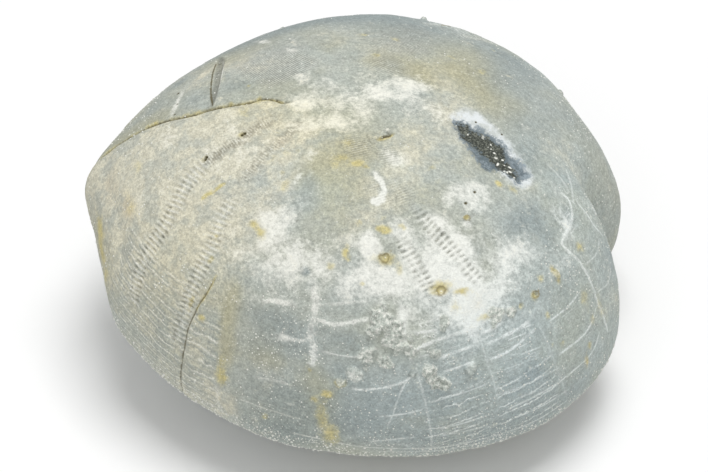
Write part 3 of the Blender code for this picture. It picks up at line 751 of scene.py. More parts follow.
# Slate-grey stains. Most are the stone's own grey; those low on the sides are partly painted shade, darker
# towards the bottom.
SLATE = (
    (-101, 61, 7, 3.5, 0.6), (-95, 66, 5, 3.5, 0.4), (-103, 70, 5, 3, 0.3), (-98, 80, 8, 4, 0.65),
    (-84, 84, 9, 4.5, 0.5), (-81, 62.5, 5, 2.6, 0.55), (-84, 70, 4, 2.6, 0.4), (-75, 77, 7, 4, 0.4),
    (-85, 52, 4, 2, 0.3), (-62, 80, 9, 6, 0.35), (-46, 78, 7, 6, 0.3),
    (-44.5, 77.3, 2, 2, 0.35), (-27, 44, 4.5, 4, 0.6), (-33, 42, 3.5, 2.5, 0.45), (-19, 51, 3, 3, 0.5),
    (-28, 50, 3, 3, 0.35), (-33, 64, 5, 5, 0.3), (-10, 46, 3, 4, 0.35), (5, 40, 6, 6, 0.3),
    (-107, 92, 9, 4, 0.4), (100, 38, 9, 4, 0.6), (60, 33, 7, 6, 0.5), (40, 45, 9, 7, 0.5),
    (165, 22, 3, 5, 0.6), (157, 46, 2, 1.6, 0.7), (175, 33, 3, 3, 0.5), (155.2, 27.6, 0.6, 0.5, 0.9),
    (-169, 52, 1.4, 1.2, 0.8),
    (-170.5, 39.4, 1.0, 1.4, 0.6), (-92.5, 46, 1.0, 0.9, 1.0), (-95, 29, 2.6, 3, 0.4),
    (170, 50, 5, 3, 0.5), (150, 55, 7, 4, 0.5), (-14, 70, 5, 6, 0.4), (15, 55, 7, 7, 0.4),
    (80, 75, 12, 8, 0.5), (120, 80, 10, 8, 0.45), (40, 75, 10, 8, 0.4), (-150, 92, 3, 7, 0.3),
    (78, 12, 3, 3, 0.35), (-70, 92, 14, 5, 0.45), (-45, 92, 9, 5, 0.35), (-137, 14, 1.8, 3, 0.4),
    (-102, 19, 2.0, 2.2, 0.45), (-94, 23, 2.2, 2.4, 0.5), (140, 12, 4, 3, 0.35), (-35, 88, 5, 5, 0.35),
    (115, 20, 5, 4, 0.4), (-55, 97, 14, 4, 0.4), (62, 24, 8, 5, 0.5), (75, 40, 12, 8, 0.6),
    (42, 14, 4, 3, 0.5), (122, 40, 10, 8, 0.5),
    (-10, 36, 2.5, 2.5, 0.5), (-100, 97, 9, 5, 0.5), (86, 34, 8, 5, 0.4),
    (100, 50, 16, 8, 0.55), (130, 50, 12, 8, 0.5), (30, 40, 8, 8, 0.35), (2, 34, 4, 6, 0.4),
    (20, 32, 6, 6, 0.4), (-6, 36, 3, 4, 0.3), (-15, 37, 3, 3, 0.5), (-46, 43, 4, 3, 0.4),
    (-93, 92, 6, 4, 0.5), (-167, 92, 5, 4, 0.5),
)
# Pale flecks in the dark core of the hollow and in the middle of the craters.
FLECKS = (
    (-69.0, 40.4, 0.28, 0.24, 0.7), (-58.2, 50.2, 0.3, 0.24, 0.6), (-38.9, 59.2, 0.2, 0.2, 0.5),
    (-9.7, 23.2, 0.30, 0.16, 1.0), (-8.4, 26.2, 0.7, 0.45, 0.55), (-10.6, 28.0, 0.24, 0.2, 0.9),
    (-12.2, 27.7, 0.2, 0.2, 0.8), (-12.4, 28.4, 0.22, 0.2, 0.9), (-13.6, 29.4, 0.22, 0.4, 1.0),
    (-15.4, 29.9, 0.26, 0.4, 1.0), (-17.2, 30.9, 0.45, 0.18, 1.0), (-14.8, 31.4, 0.2, 0.26, 1.0),
    (-18.7, 32.8, 0.4, 0.22, 1.0), (-18.5, 33.4, 0.4, 0.24, 1.0), (-17.6, 34.0, 0.24, 0.4, 1.0),
    (-16.1, 33.4, 0.22, 0.35, 1.0), (-19.0, 35.3, 0.3, 0.2, 0.9), (-16.4, 32.2, 0.16, 0.16, 0.8),
    (-20.6, 31.8, 0.2, 0.16, 0.7), (-7.2, 22.4, 0.16, 0.16, 0.7), (-11.2, 25.2, 0.14, 0.14, 0.6),
)
OLIVE = (
    (-85, 19, 7, 5, 0.8), (-72, 26, 5, 4, 0.5), (-62, 13, 5, 4, 0.7), (-55, 25, 3.0, 4, 0.5),
    (-97, 19, 3, 4, 0.7), (-84, 31, 5, 3, 0.35), (-46, 27, 3, 3, 0.4),
    (28, 24, 5, 4, 0.8), (15, 27, 5, 4, 0.65), (40, 33, 6, 5, 0.5), (55, 25, 5, 5, 0.4),
    (12, 34, 4, 4, 0.4), (-8, 40, 2.5, 3, 0.35), (-180, 60, 2.5, 10, 0.7), (178, 46, 2.5, 5, 0.6),
    (170, 65, 6, 6, 0.5), (-161, 82, 8, 5, 0.8), (-154, 80, 3, 4, 0.6), (-152, 92, 3, 7, 0.5),
    (-112.5, 62, 2.0, 6, 0.9), (-111.5, 74, 2.0, 5, 0.7), (-101, 71, 4, 2.5, 0.7),
    (-90, 74, 3, 5, 0.5), (-88, 97, 14, 3.5, 0.5), (-120, 60, 2.5, 4, 0.5), (142, 35, 3, 6, 0.4),
    (-130, 80, 7, 8, 0.4), (-140, 68, 5, 8, 0.4), (-28, 68, 1.8, 2.4, 0.5), (-22, 58, 1.2, 1.2, 0.5),
    (90, 85, 14, 5, 0.5), (60, 95, 12, 5, 0.5), (150, 85, 8, 6, 0.5), (0, 92, 10, 5, 0.4),
    (-88, 82, 4, 6, 0.6), (-100, 64, 4, 3, 0.3), (-175, 42, 2.5, 5, 0.4), (160, 30, 4, 4, 0.35),
    (-20, 30, 3, 3, 0.35), (-30, 24, 3, 3, 0.3), (90, 17, 5, 4, 0.3), (4, 30, 4, 5, 0.4),
    (40, 15, 5, 3, 0.8), (26, 17, 5, 3, 0.6), (55, 13, 3, 2.5, 0.5), (138, 38, 7, 5, 0.5),
    (121, 33, 5, 4, 0.4), (-168, 92, 7, 6, 0.7), (30, 30, 7, 5, 0.5),
    (70, 30, 8, 5, 0.4), (-174, 78, 5, 6, 0.5),
)
# Where the stone is tinted blue and a little paler.
BLUE = (
    (-46, 72, 20, 13, 1.0), (-72, 78, 13, 9, 0.5), (-10, 58, 14, 16, 0.8), (-88, 72, 9, 8, 0.2),
    (-20, 88, 14, 8, 0.6), (34, 60, 12, 10, 0.4), (70, 60, 20, 20, 0.5), (-50, 22, 5, 5, 0.3),
    (-108, 19, 4, 5, 0.1), (-95, 23, 4, 5, 0.25), (-85, 24, 4, 5, 0.6),
)
# Where it is tinted warm.
WARM = (
    (-90, 5, 16, 8, 1.0), (-130, 62, 14, 12, 0.5), (170, 14, 8, 6, 0.5), (-95, 85, 8, 6, 0.4),
    (45, 10, 6, 4, 0.5), (-14, 38, 5, 4, 0.4), (35, 18, 5, 4, 0.6), (15, 25, 6, 5, 0.4),
)
OCHRE = (
    (-66.3, 33.6, 1.0, 0.8, 1.0), (-68.3, 33.0, 0.6, 0.5, 0.8), (-68.6, 40.8, 1.7, 1.3, 0.85),
    (-66.3, 43.6, 0.7, 1.2, 0.6), (-65.0, 30.5, 0.7, 0.6, 0.45), (-61.3, 32.8, 0.6, 0.7, 0.45),
    (-80.2, 39.5, 0.6, 1.1, 0.9), (-79.6, 41.2, 0.6, 0.7, 0.7), (-73.8, 31.6, 0.8, 0.8, 0.5),
    (-85.1, 43.6, 0.9, 0.8, 0.8), (-76.7, 47.3, 0.7, 0.5, 0.7), (-58.6, 49.5, 1.9, 1.2, 0.85),
    (-54.1, 51.4, 1.4, 0.6, 0.8), (-56.6, 54.5, 0.9, 1.2, 0.45), (-60.3, 33.3, 0.4, 0.6, 0.5),
    (-112.6, 37.9, 0.9, 0.7, 0.85), (-109.0, 39.8, 0.8, 0.9, 0.75), (-110.5, 39.0, 1.4, 0.5, 0.6),
    (-123.2, 45.6, 0.4, 0.4, 0.7), (-121.9, 51.6, 0.6, 0.8, 0.9),
    (-123.6, 65.0, 0.5, 1.1, 1.0), (-119.5, 67.4, 1.1, 0.9, 0.8), (-112.0, 82.0, 1.2, 2.2, 0.75),
    (-113.0, 77.5, 0.9, 2.5, 0.5), (-101.0, 89.8, 0.9, 0.7, 0.6), (-89.8, 79.5, 0.8, 0.7, 0.7),
    (-86.8, 77.2, 1.0, 0.7, 0.9), (-83.9, 73.7, 1.0, 0.7, 1.0), (-88.0, 84.0, 1.4, 3.0, 0.6),
    (-85.8, 91.0, 1.6, 2.6, 0.65), (-90.8, 71.5, 0.4, 0.8, 0.6), (-32.2, 58.3, 0.6, 1.6, 1.0),
    (-39.2, 59.2, 0.9, 1.0, 0.8), (-35.9, 56.5, 0.9, 0.9, 0.6), (-43.0, 59.9, 0.7, 0.7, 0.6),
    (-50.5, 59.1, 1.8, 0.7, 0.6), (-38.0, 65.4, 0.7, 0.9, 0.65), (-22.7, 57.7, 1.0, 1.0, 0.7),
    (-27.7, 74.8, 1.0, 1.2, 0.6), (-28.3, 67.5, 1.2, 1.8, 0.5), (-36.8, 74.0, 0.8, 0.6, 0.65),
    (-39.0, 72.4, 0.4, 0.4, 0.6), (-31.4, 83.5, 0.6, 1.6, 0.8), (-30.0, 80.5, 0.6, 1.0, 0.6),
    (-24.5, 74.5, 1.0, 2.2, 0.5), (-41.7, 35.2, 0.55, 0.4, 1.0), (-71.5, 14.6, 1.2, 0.8, 0.75),
    (-65.5, 16.3, 1.2, 0.6, 1.0), (-61.5, 17.4, 0.8, 0.5, 0.7), (-78.0, 17.0, 1.4, 1.0, 0.5),
    (-62.0, 11.0, 1.4, 1.2, 0.5), (-147.2, 20.6, 0.7, 0.8, 0.6), (-36.5, 22.0, 0.9, 0.7, 0.5),
    (-39.5, 25.2, 1.0, 0.8, 0.4), (-147.7, 32.0, 0.7, 0.8, 0.5), (-162.0, 80.0, 3.0, 2.0, 0.8),
    (-158.0, 84.0, 3.0, 1.5, 0.7), (-23.5, 36.5, 0.7, 1.0, 0.6), (-163.0, 52.0, 1.6, 1.6, 0.35),
    (-153.0, 86.0, 1.0, 3.5, 0.5), (-155.0, 59.5, 3.0, 1.6, 0.3), (-178.0, 49.0, 1.4, 2.2, 0.6),
    (57.6, 14.4, 0.8, 0.6, 0.6), (60.8, 22.9, 1.0, 0.8, 0.55), (75.2, 22.3, 0.7, 0.7, 0.6),
    (37.7, 26.5, 0.6, 0.6, 0.6), (41.8, 42.1, 0.6, 0.6, 0.6), (28.0, 30.0, 1.5, 1.2, 0.45),
    (-176.9, 21.6, 0.8, 0.6, 0.8), (-177.2, 14.0, 1.1, 0.5, 0.85), (-178.1, 45.8, 0.7, 0.8, 0.8),
    (164.3, 18.6, 0.5, 0.5, 0.7), (-24.8, 33.4, 0.5, 0.7, 0.8), (-109.0, 22.5, 0.7, 0.6, 0.5),
    (-112.0, 17.0, 0.9, 0.6, 0.4), (-104.0, 15.5, 0.8, 0.7, 0.5), (-127.0, 13.5, 1.2, 0.5, 0.4),
    (-166.0, 18.0, 2.0, 1.0, 0.4), (-40.5, 11.9, 0.9, 0.5, 0.8), (-34, 12.2, 1.2, 0.4, 0.8),
    (-160.0, 17.0, 1.4, 0.9, 0.4), (-118.0, 20.0, 0.6, 1.4, 0.4), (-105.0, 26.0, 0.9, 2.0, 0.4),
    (100.0, 60.0, 1.0, 1.2, 0.7), (120.0, 70.0, 1.0, 1.6, 0.6), (95.0, 84.0, 1.5, 2.0, 0.6),
    (70.0, 66.0, 0.8, 0.8, 0.7), (50.0, 80.0, 1.2, 2.0, 0.5), (140.0, 78.0, 1.4, 1.4, 0.5),
)
RUST = (
    (-155, 60.5, 3.2, 1.8, 0.4), (-167, 67, 4.0, 3.0, 0.3), (-32.2, 58.3, 0.5, 1.4, 0.6),
    (-31.4, 83.8, 0.5, 1.3, 0.6), (-123.6, 65.4, 0.4, 1.0, 0.5), (-65.5, 16.3, 0.9, 0.4, 0.5),
    (-54.1, 51.4, 1.0, 0.4, 0.5), (-58.4, 50.1, 0.7, 0.5, 0.6), (-118, 15.0, 1.5, 2.5, 0.35),
    (-86.8, 77.2, 0.7, 0.5, 0.5), (-52, 56, 2.5, 2.0, 0.2),
)
# Stains along a path: path, half width in mm, strength.
OCHRE_STREAKS = (
    (((-131.8, 32.5), (-133.2, 35.5), (-135.3, 39.2)), 0.38, 1.0),
    (((-168, 8.5), (-173, 10), (-176, 12.5), (-174.5, 17), (-174.5, 22)), 0.45, 0.9),
    (((-175.5, 24), (-175.4, 33), (-177, 40), (-178, 50), (-178.5, 60), (-178.5, 72)), 0.9, 0.5),
    (((-118.5, 55), (-119.5, 60), (-121.5, 66)), 0.35, 0.6),
)
OLIVE_STREAKS = ((CRACK[5:], 1.0, 0.75),)
# Dark dotted bands where a petal's upper pores are worn away.
WORN_STREAKS = ((ZONE_1_REAR[:5], 1.0, 0.9), (ZONE_1_FRONT[:4], 0.8, 0.7))
# Where the fine stripes across the petals show, as stains.
STRIPED = (
    (-59, 12.0, 3.2, 2.4, 0.9), (-46, 15.7, 1.8, 2.0, 0.9), (-55, 25.5, 2.2, 2.6, 0.6),
    (-62.5, 24, 2.2, 3.0, 0.4), (-137, 13, 2.2, 3.0, 0.35), (-112, 8, 2.0, 2.0, 0.5),
    (143, 12, 6, 4.5, 1.0), (125, 10, 4, 4, 0.9), (150, 21, 5, 4, 0.8), (118, 17, 4, 4, 0.7),
    (55, 22, 6, 5, 1.0), (47, 13, 4, 3, 0.8), (60, 32, 5, 5, 0.7), (135, 20, 8, 7, 0.85),
)
# Lines across the skin: path, half width in mm, strength.
DOWN_LINES = (
    (((-90, 49), (-89.4, 54.5), (-90.3, 58.9), (-90.7, 62.6), (-89.8, 66.6), (-90.4, 71)), 0.8, 1.0),
    (((-69, 53.5), (-68.7, 56.5), (-69, 62), (-68.5, 68)), 0.3, 0.6),
    (((-67.9, 68), (-66.6, 79.1), (-65.8, 89.2), (-65.5, 96)), 0.25, 0.45),
    (((-54.1, 59), (-53.7, 64.2), (-53.5, 69.9), (-52.9, 75.3), (-52.5, 82)), 0.24, 0.34),
    (((-41.8, 62), (-40.5, 68.7), (-39.5, 77.8), (-38.2, 85.9), (-37, 93)), 0.26, 0.25),
    (((-14.5, 46), (-14.7, 49.5), (-18.9, 52.2), (-25.1, 53), (-26, 55), (-25, 60.7), (-24.8, 66.7),
      (-24.8, 72.3), (-24.1, 77.5), (-23.3, 84)), 0.34, 0.8),
    (((-68.1, 69.8), (-70.5, 73.1), (-72.1, 77.2), (-73.1, 81.1), (-74.5, 86.2)), 0.2, 0.7),
    (((-13, 50), (-13.7, 55.7), (-14.2, 60), (-12.9, 65)), 0.24, 0.7),
    (((-23, 53.5), (-17.5, 51), (-12.5, 50.3), (-4, 48.4)), 0.28, 0.6),
    (((-8, 41), (-10, 46), (-13, 50)), 0.3, 0.5),
    (((139.8, 38.9), (147.1, 33.2), (154.5, 30.1), (162, 28.1), (169.4, 27.1)), 0.2, 0.8),
    (((90, 42), (91, 52), (89, 62), (90, 72), (91, 82)), 0.34, 0.45),
    (((54, 56), (53.5, 66), (53, 76), (52.5, 88)), 0.3, 0.4),
    (((26, 52), (25, 62), (24.5, 72), (23, 84)), 0.28, 0.45),
    (((70, 50), (68.5, 60), (67, 72), (66, 86)), 0.24, 0.35),
    (((112, 50), (113, 62), (113, 76), (112, 90)), 0.26, 0.35),
    (((-113.5, 84), (-113, 92), (-112, 100)), 0.4, 0.4),
    (((180, 80), (181, 88), (180, 94)), 0.4, 0.4),
)
LEVEL_LINES = (
    (((-104.3, 56.6), (-99, 55.6), (-93.2, 55)), 0.6, 1.0),
    (((-98, 64.4), (-94, 64.3), (-90.6, 64)), 0.4, 0.7),
    (((-89.8, 57.6), (-86, 58.6), (-82.6, 58.2), (-75.8, 56.2)), 0.5, 1.0),
    (((-90, 54.5), (-83.4, 53), (-75.2, 51.5)), 0.3, 0.45),
    (((-89, 66), (-83, 66.4), (-76.8, 66.2)), 0.2, 0.65),
    (((-82, 74.7), (-79.1, 74.8), (-74.1, 73.7), (-70, 71.9), (-68.1, 70.3)), 0.28, 0.95),
    (((-68.5, 59.6), (-65.3, 60), (-61.3, 60.1)), 0.42, 1.0),
    (((-66.5, 58.1), (-60.9, 57.1), (-57.5, 56.6)), 0.22, 0.7),
    (((-68.6, 64.6), (-64, 62.8), (-59.6, 61.8), (-54.9, 61.3)), 0.38, 1.0),
    (((-67, 66.3), (-61.3, 64.9)), 0.2, 0.6),
    (((-63.2, 67.1), (-59.1, 66), (-54.9, 65.1)), 0.38, 1.0),
    (((-62.6, 70.6), (-58.8, 69.7), (-55.6, 69)), 0.26, 0.95),
    (((-64.3, 78), (-58.8, 76.7), (-53.5, 75.7)), 0.2, 0.6),
    (((-76.2, 82.7), (-71, 81.4), (-66.8, 80.2)), 0.24, 0.7),
    (((-64.6, 87.2), (-58.4, 86), (-54, 85.1)), 0.2, 0.6),
    (((-78.3, 91.7), (-73.2, 90.5), (-68.5, 89.5)), 0.24, 0.65),
    (((-64.6, 89.9), (-59.2, 89.3), (-54, 89.2)), 0.2, 0.5),
    (((-53.6, 63.1), (-50.9, 62.5), (-47.9, 61.9)), 0.36, 1.0),
    (((-53.3, 65.9), (-48.7, 65.2), (-44.6, 64.8), (-42, 64.2)), 0.38, 1.0),
    (((-53.2, 69.8), (-48.2, 69.1), (-41.5, 66.6)), 0.34, 1.0),
    (((-47, 71.3), (-41.5, 71.6)), 0.2, 0.6),
    (((-53.8, 73.5), (-48, 73.4), (-42, 74)), 0.16, 0.4),
    (((-53.5, 79.8), (-48.8, 79.6), (-44.6, 79.4), (-38.2, 79.7)), 0.2, 0.5),
    (((-51, 85.4), (-45, 84.2), (-38.6, 83.8)), 0.24, 0.65),
    (((-49, 89.1), (-43.2, 88.6), (-36.4, 88.5)), 0.24, 0.65),
    (((-28.3, 65.8), (-32.9, 66.7), (-38.6, 67)), 0.24, 0.8),
    (((-25.6, 72.9), (-28.1, 75), (-31.7, 76.2), (-38.8, 76.2)), 0.3, 1.0),
    (((-25.8, 79.4), (-29.4, 83), (-34.8, 83.6), (-40, 84)), 0.24, 0.8),
    (((-24.5, 62), (-19, 63.5), (-15, 62.5)), 0.22, 0.6),
    (((-24.5, 70), (-19, 72), (-14, 70)), 0.22, 0.6),
    (((-104, 77.5), (-99, 76.6), (-94, 77)), 0.3, 0.5),
    (((-95, 93.5), (-80, 95), (-65, 95.5), (-50, 94.5), (-36, 93)), 0.2, 0.6),
    (((-92, 97), (-75, 98), (-58, 98), (-42, 96.5)), 0.18, 0.5),
    (((-108, 86.5), (-101, 86.6), (-92, 87)), 0.22, 0.4),
    (((-97, 82.5), (-93.5, 82.6)), 0.3, 0.4),
    (((104, 57), (97, 58), (91, 56)), 0.28, 0.45),
    (((89, 62), (82, 64), (75, 62)), 0.26, 0.45),
    (((108, 68), (99, 70), (91, 68)), 0.24, 0.4),
    (((89, 75), (80, 76.5), (72, 75)), 0.24, 0.4),
    (((106, 80), (98, 81), (92, 79)), 0.22, 0.4),
    (((26, 60), (32, 62), (38, 61)), 0.24, 0.45),
    (((25, 71), (31, 73.5), (38, 73)), 0.24, 0.5),
    (((24, 80), (30, 83), (37, 83.5)), 0.22, 0.45),
)
# Dark lines along the cracks and the groove's edge: dirt and painted shade in them.
CRACK_LINES = (
    (CRACK, 0.40, 0.95),
    (SIDE_CRACK, 0.15, 0.7),
    (SMALL_CRACK, 0.34, 1.0),
    (GROOVE_EDGE, 0.17, 0.9),
)
LINE_REACH = 1.3 * MM           # a line's numbers are kept this far from it
LINE_FADE = 1.2 * MM            # it fades over this length at both ends
# Bands crossed by evenly spaced plate edges: middle bearing, half spread, top, bottom, pitch, lean,
# strength.
PLATE_BANDS = (
    (-137, 13, 58, 104, 2.7, 0.0, 1.0),
    (-120, 7, 62, 104, 3.9, 0.0, 1.0),
    (-60.5, 7, 72, 98, 3.0, -0.25, 1.0),
    (-46, 7, 72, 98, 3.0, -0.2, 1.0),
    (137, 14, 58, 104, 2.9, 0.0, 0.55),
    (60.5, 7, 58, 98, 3.3, 0.25, 0.45),
    (46, 7, 58, 98, 3.3, 0.2, 0.4),
)


def stained(points, stains):
    """How strongly soft oval stains cover each point, 0 to 1."""
    clear = np.ones(len(points))
    for bearing, polar, wide, tall, strength in stains:
        spot, right, down, out = local_axes(bearing, polar)
        offset = points - spot
        oval = np.sqrt((offset @ right / (wide * MM)) ** 2 + (offset @ down / (tall * MM)) ** 2
                       + (offset @ out / (max(wide, tall) * MM)) ** 2)
        clear *= 1.0 - strength * bell(oval, 1.0)
    return 1.0 - clear


def streaked(points, streaks):
    """The same for stains that follow a path."""
    clear = np.ones(len(points))
    for path, half_width, strength in streaks:
        distance = np.abs(beside_path(points, path, 4.0 * half_width * MM)[0])
        clear *= 1.0 - strength * bell(distance, half_width * MM)
    return 1.0 - clear


def lined(points, lines):
    """The nearest line's signed distance in half widths, and how strong it is there."""
    signed = np.full(len(points), 9.0)
    weight = np.zeros(len(points))
    for path, half_width, strength in lines:
        across, along = beside_path(points, path, LINE_REACH)
        length = path_length(path)
        fade = plateau(along, (-0.2 * MM, LINE_FADE), (length - LINE_FADE, length))
        drawn_here = strength * fade * (1.0 - ramp(np.abs(across), 0.8 * MM, LINE_REACH))
        stronger = drawn_here > weight
        signed[stronger] = across[stronger] / (half_width * MM)
        weight[stronger] = drawn_here[stronger]
    return signed, weight


def banded(bearing, polar):
    """The count of plate edges passed going down, and how strong the edges are there."""
    count = np.zeros(len(bearing))
    weight = np.zeros(len(bearing))
    degrees, level = np.degrees(bearing), np.degrees(polar)
    for middle, spread, top, bottom, pitch, lean, strength in PLATE_BANDS:
        beside = degrees - middle
        inside = strength * (1.0 - ramp(np.abs(beside), spread - 1.5, spread))
        inside *= plateau(level, (top, top + 6.0), (bottom - 8.0, bottom))
        stronger = inside > weight
        count[stronger] = ((level - lean * beside - top) / pitch)[stronger]
        weight[stronger] = inside[stronger]
    return count, weight


def patched(points, bearing, polar, patches):
    """How strongly outlined patches cover each point, 0 to 1."""
    clear = np.ones(len(points))
    for outline, strength, soft in patches:
        inside = inside_outline(points, bearing, polar, outline)
        clear *= 1.0 - strength * ramp(inside, -soft * MM, soft * MM)
    return 1.0 - clear


def ringed(points):
    """The ragged dark ring in each crater with a raised rim."""
    ring = np.zeros(len(points))
    waver = 1.0 + 0.35 * rough(points, 0.6 * MM, SEED + 13, 2)
    for bearing, polar, radius, _, rim in PITS:
        if rim >= RINGED_RIM:
            distance = from_place(points, bearing, polar) * waver
            ring = np.maximum(ring, bell(distance - 1.15 * radius * MM, 0.30 * radius * MM))
    return ring


def striped(points):
    """Length along the nearest petal zone, and how strong its fine cross stripes are."""
    length = np.zeros(len(points))
    weight = np.zeros(len(points))
    shown = np.maximum(stained(points, STRIPED), streaked(points, WORN_STREAKS))
    bands = [(path, ZONE_REACH) for path, _, _, _, _, _, _ in ZONES[:4]]
    bands += [(path, FAR_PETAL_HALF_WIDTH) for path in FAR_PETALS]
    for path, reach in bands:
        across, along = beside_path(points, path, reach)
        here = shown * (1.0 - ramp(np.abs(across), 0.55 * reach, 0.95 * reach))
        here *= ramp(along, 0.2 * MM, 1.5 * MM)
        stronger = here > weight
        length[stronger] = along[stronger]
        weight[stronger] = here[stronger]
    return length, weight


# ---- Granules: tiny white beads left on the skin ----------------------------
BEAD_SIDES = 6
RIM_BEADS = 8800
SIDE_BEADS = 5200
RIM_BEAD_RADIUS = 0.19 * MM
SIDE_BEAD_RADIUS = 0.12 * MM
RIM_BEAD_GAP = 0.52 * MM
SIDE_BEAD_GAP = 0.36 * MM
# Polar angles, in radians, over which the beads set in and give out.
RIM_BEAD_BAND = ((1.62, 1.74), (2.05, 2.25))
SIDE_BEAD_BAND = ((0.80, 1.05), (1.66, 1.76))
TOP_BEAD_BAND = ((0.1, 0.3), (1.0, 1.3))


def scattered(points, triangles, chance, tries, gap, random):
    """Random places on the skin and their normals, denser where the chance is high."""
    a, b, c = points[triangles[:, 0]], points[triangles[:, 1]], points[triangles[:, 2]]
    facing = np.cross(b - a, c - a)
    area = np.linalg.norm(facing, axis=1) * chance[triangles].mean(axis=1)
    picked = random.choice(len(triangles), size=tries, p=area / area.sum())
    u, v = random.random(tries), random.random(tries)
    folded = u + v > 1.0
    u[folded], v[folded] = 1.0 - u[folded], 1.0 - v[folded]
    spots = a[picked] + u[:, None] * (b - a)[picked] + v[:, None] * (c - a)[picked]
    outward = facing[picked] / np.linalg.norm(facing[picked], axis=1, keepdims=True)
    tree = kdtree.KDTree(tries)
    for index, spot in enumerate(spots):
        tree.insert(spot, index)
    tree.balance()
    kept = np.ones(tries, dtype=bool)
    for index, spot in enumerate(spots):
        if kept[index]:
            for _, other, _ in tree.find_range(spot, gap):
                if other > index:
                    kept[other] = False
    return spots[kept], outward[kept]


def bead_mesh(spots, outward, radii):
    """Small domes, each a top point and two rings, sunk a little into the skin."""
    turns = 2.0 * math.pi * np.arange(BEAD_SIDES) / BEAD_SIDES
    rows = [(0.0, 0.0, 0.75)]
    rows += [(0.72 * math.cos(turn), 0.72 * math.sin(turn), 0.48) for turn in turns]
    rows += [(math.cos(turn), math.sin(turn), -0.45) for turn in turns]
    shape = np.array(rows)
    faces = []
    for side in range(BEAD_SIDES):
        after = (side + 1) % BEAD_SIDES
        inner, inner_next = 1 + side, 1 + after
        outer, outer_next = inner + BEAD_SIDES, inner_next + BEAD_SIDES
        faces += [(0, inner, inner_next), (inner, outer, outer_next), (inner, outer_next, inner_next)]
    helper = np.where(np.abs(outward[:, 2:]) < 0.9, (0.0, 0.0, 1.0), (1.0, 0.0, 0.0))
    right = np.cross(helper, outward)
    right /= np.linalg.norm(right, axis=1, keepdims=True)
    up = np.cross(outward, right)
    local = shape[None, :, :] * radii[:, None, None]
    points = spots[:, None, :] + local[..., :1] * right[:, None] + local[..., 1:2] * up[:, None]
    points = points + local[..., 2:] * outward[:, None]
    shift = len(shape) * np.arange(len(spots))[:, None, None]
    return points.reshape(-1, 3), (np.array(faces)[None] + shift).reshape(-1, 3)


# ---- Materials --------------------------------------------------------------
BLUE_GREY = (0.450, 0.487, 0.450, 1.0)
BLUE_TINT = (1.020, 1.090, 1.170, 1.0)
WARM_TINT = (1.010, 0.980, 0.880, 1.0)
PALE_GREY = (0.610, 0.625, 0.570, 1.0)
OLIVE_STONE = (0.475, 0.460, 0.325, 1.0)
SLATE_STONE = (0.300, 0.345, 0.340, 1.0)
CREAM_STONE = (0.665, 0.645, 0.520, 1.0)
CREAM_GREY = (0.525, 0.535, 0.462, 1.0)
CHALK_WHITE = (0.860, 0.865, 0.800, 1.0)
OCHRE_STONE = (0.610, 0.540, 0.250, 1.0)
RUST_STONE = (0.600, 0.520, 0.380, 1.0)
# dark flaws and dark stripes, and painted shade in the pores
DARK_MARK_AND_PORE_SHADE = (0.250, 0.245, 0.205, 1.0)
WORN_STONE = (0.360, 0.335, 0.250, 1.0)
CRACK_DIRT_AND_SHADE = (0.120, 0.105, 0.055, 1.0)
RING_DIRT = (0.230, 0.185, 0.080, 1.0)
PIT_SHADE = (0.110, 0.095, 0.045, 1.0)
GROOVE_FILL = (0.215, 0.220, 0.190, 1.0)
CRUST_GREY = (0.560, 0.605, 0.545, 1.0)
CRUST_DARK = (0.230, 0.250, 0.225, 1.0)
HOLLOW_DARK = (0.040, 0.045, 0.035, 1.0)
HOLLOW_RIM = (0.105, 0.140, 0.160, 1.0)
HOLLOW_HAZE = (0.290, 0.345, 0.380, 1.0)
HOLLOW_SPECK = (0.190, 0.200, 0.165, 1.0)
HALO_WHITE = (0.750, 0.790, 0.800, 1.0)
BEAD_WHITE = (0.780, 0.785, 0.730, 1.0)
STONE_ROUGHNESS = 0.82
FLOOR_WHITE = (0.93, 0.93, 0.93, 1.0)
FLOOR_ROUGHNESS = 0.9
BEAD_ROUGHNESS = 0.8
BROAD_SIZE = 11.0 * MM          # sizes of the patches in the stone's noises
PATCHY_SIZE = 3.4 * MM
OTHER_SIZE = 2.1 * MM
FINE_SIZE = 0.8 * MM
GRIT_SIZE = 0.55 * MM
GRAIN_SIZE = 0.32 * MM
SPECKLE_SPACING = 0.62 * MM
SPECKLE_RADIUS = 0.17 * MM
HOLE_SPACING = 0.50 * MM        # dark holes in the crusts
HOLE_RADIUS = 0.13 * MM
BUMP_STRENGTH = 0.85
BUMP_DISTANCE = 0.16 * MM


class Wire:
    """A number or colour in a node tree; arithmetic with it adds nodes."""

    def __init__(self, socket):
        self.socket = socket
        self.tree = socket.id_data

    def __add__(self, other):
        return calc("ADD", self, other)

    def __sub__(self, other):
        return calc("SUBTRACT", self, other)

    def __mul__(self, other):
        return calc("MULTIPLY", self, other)


def feed(socket, value):
    """Link a socket to a wire, or set it to a plain value."""
    if isinstance(value, Wire):
        value.tree.links.new(value.socket, socket)
    else:
        socket.default_value = value


def tree_of(*values):
    """The node tree of the wires among some values."""
    return next(value.tree for value in values if isinstance(value, Wire))


def calc(operation, a, b=0.0, clamp=False):
    """One arithmetic step."""
    node = tree_of(a, b).nodes.new("ShaderNodeMath")
    node.operation = operation
    node.use_clamp = clamp
    feed(node.inputs[0], a)
    feed(node.inputs[1], b)
    return Wire(node.outputs[0])


def step_up(value, low, high, bottom=0.0, top=1.0):
    """A smooth step from bottom to top as the value goes from low to high."""
    node = value.tree.nodes.new("ShaderNodeMapRange")
    node.interpolation_type = "SMOOTHSTEP"
    feed(node.inputs["Value"], value)
    for name, number in (("From Min", low), ("From Max", high), ("To Min", bottom), ("To Max", top)):
        node.inputs[name].default_value = number
    return Wire(node.outputs["Result"])


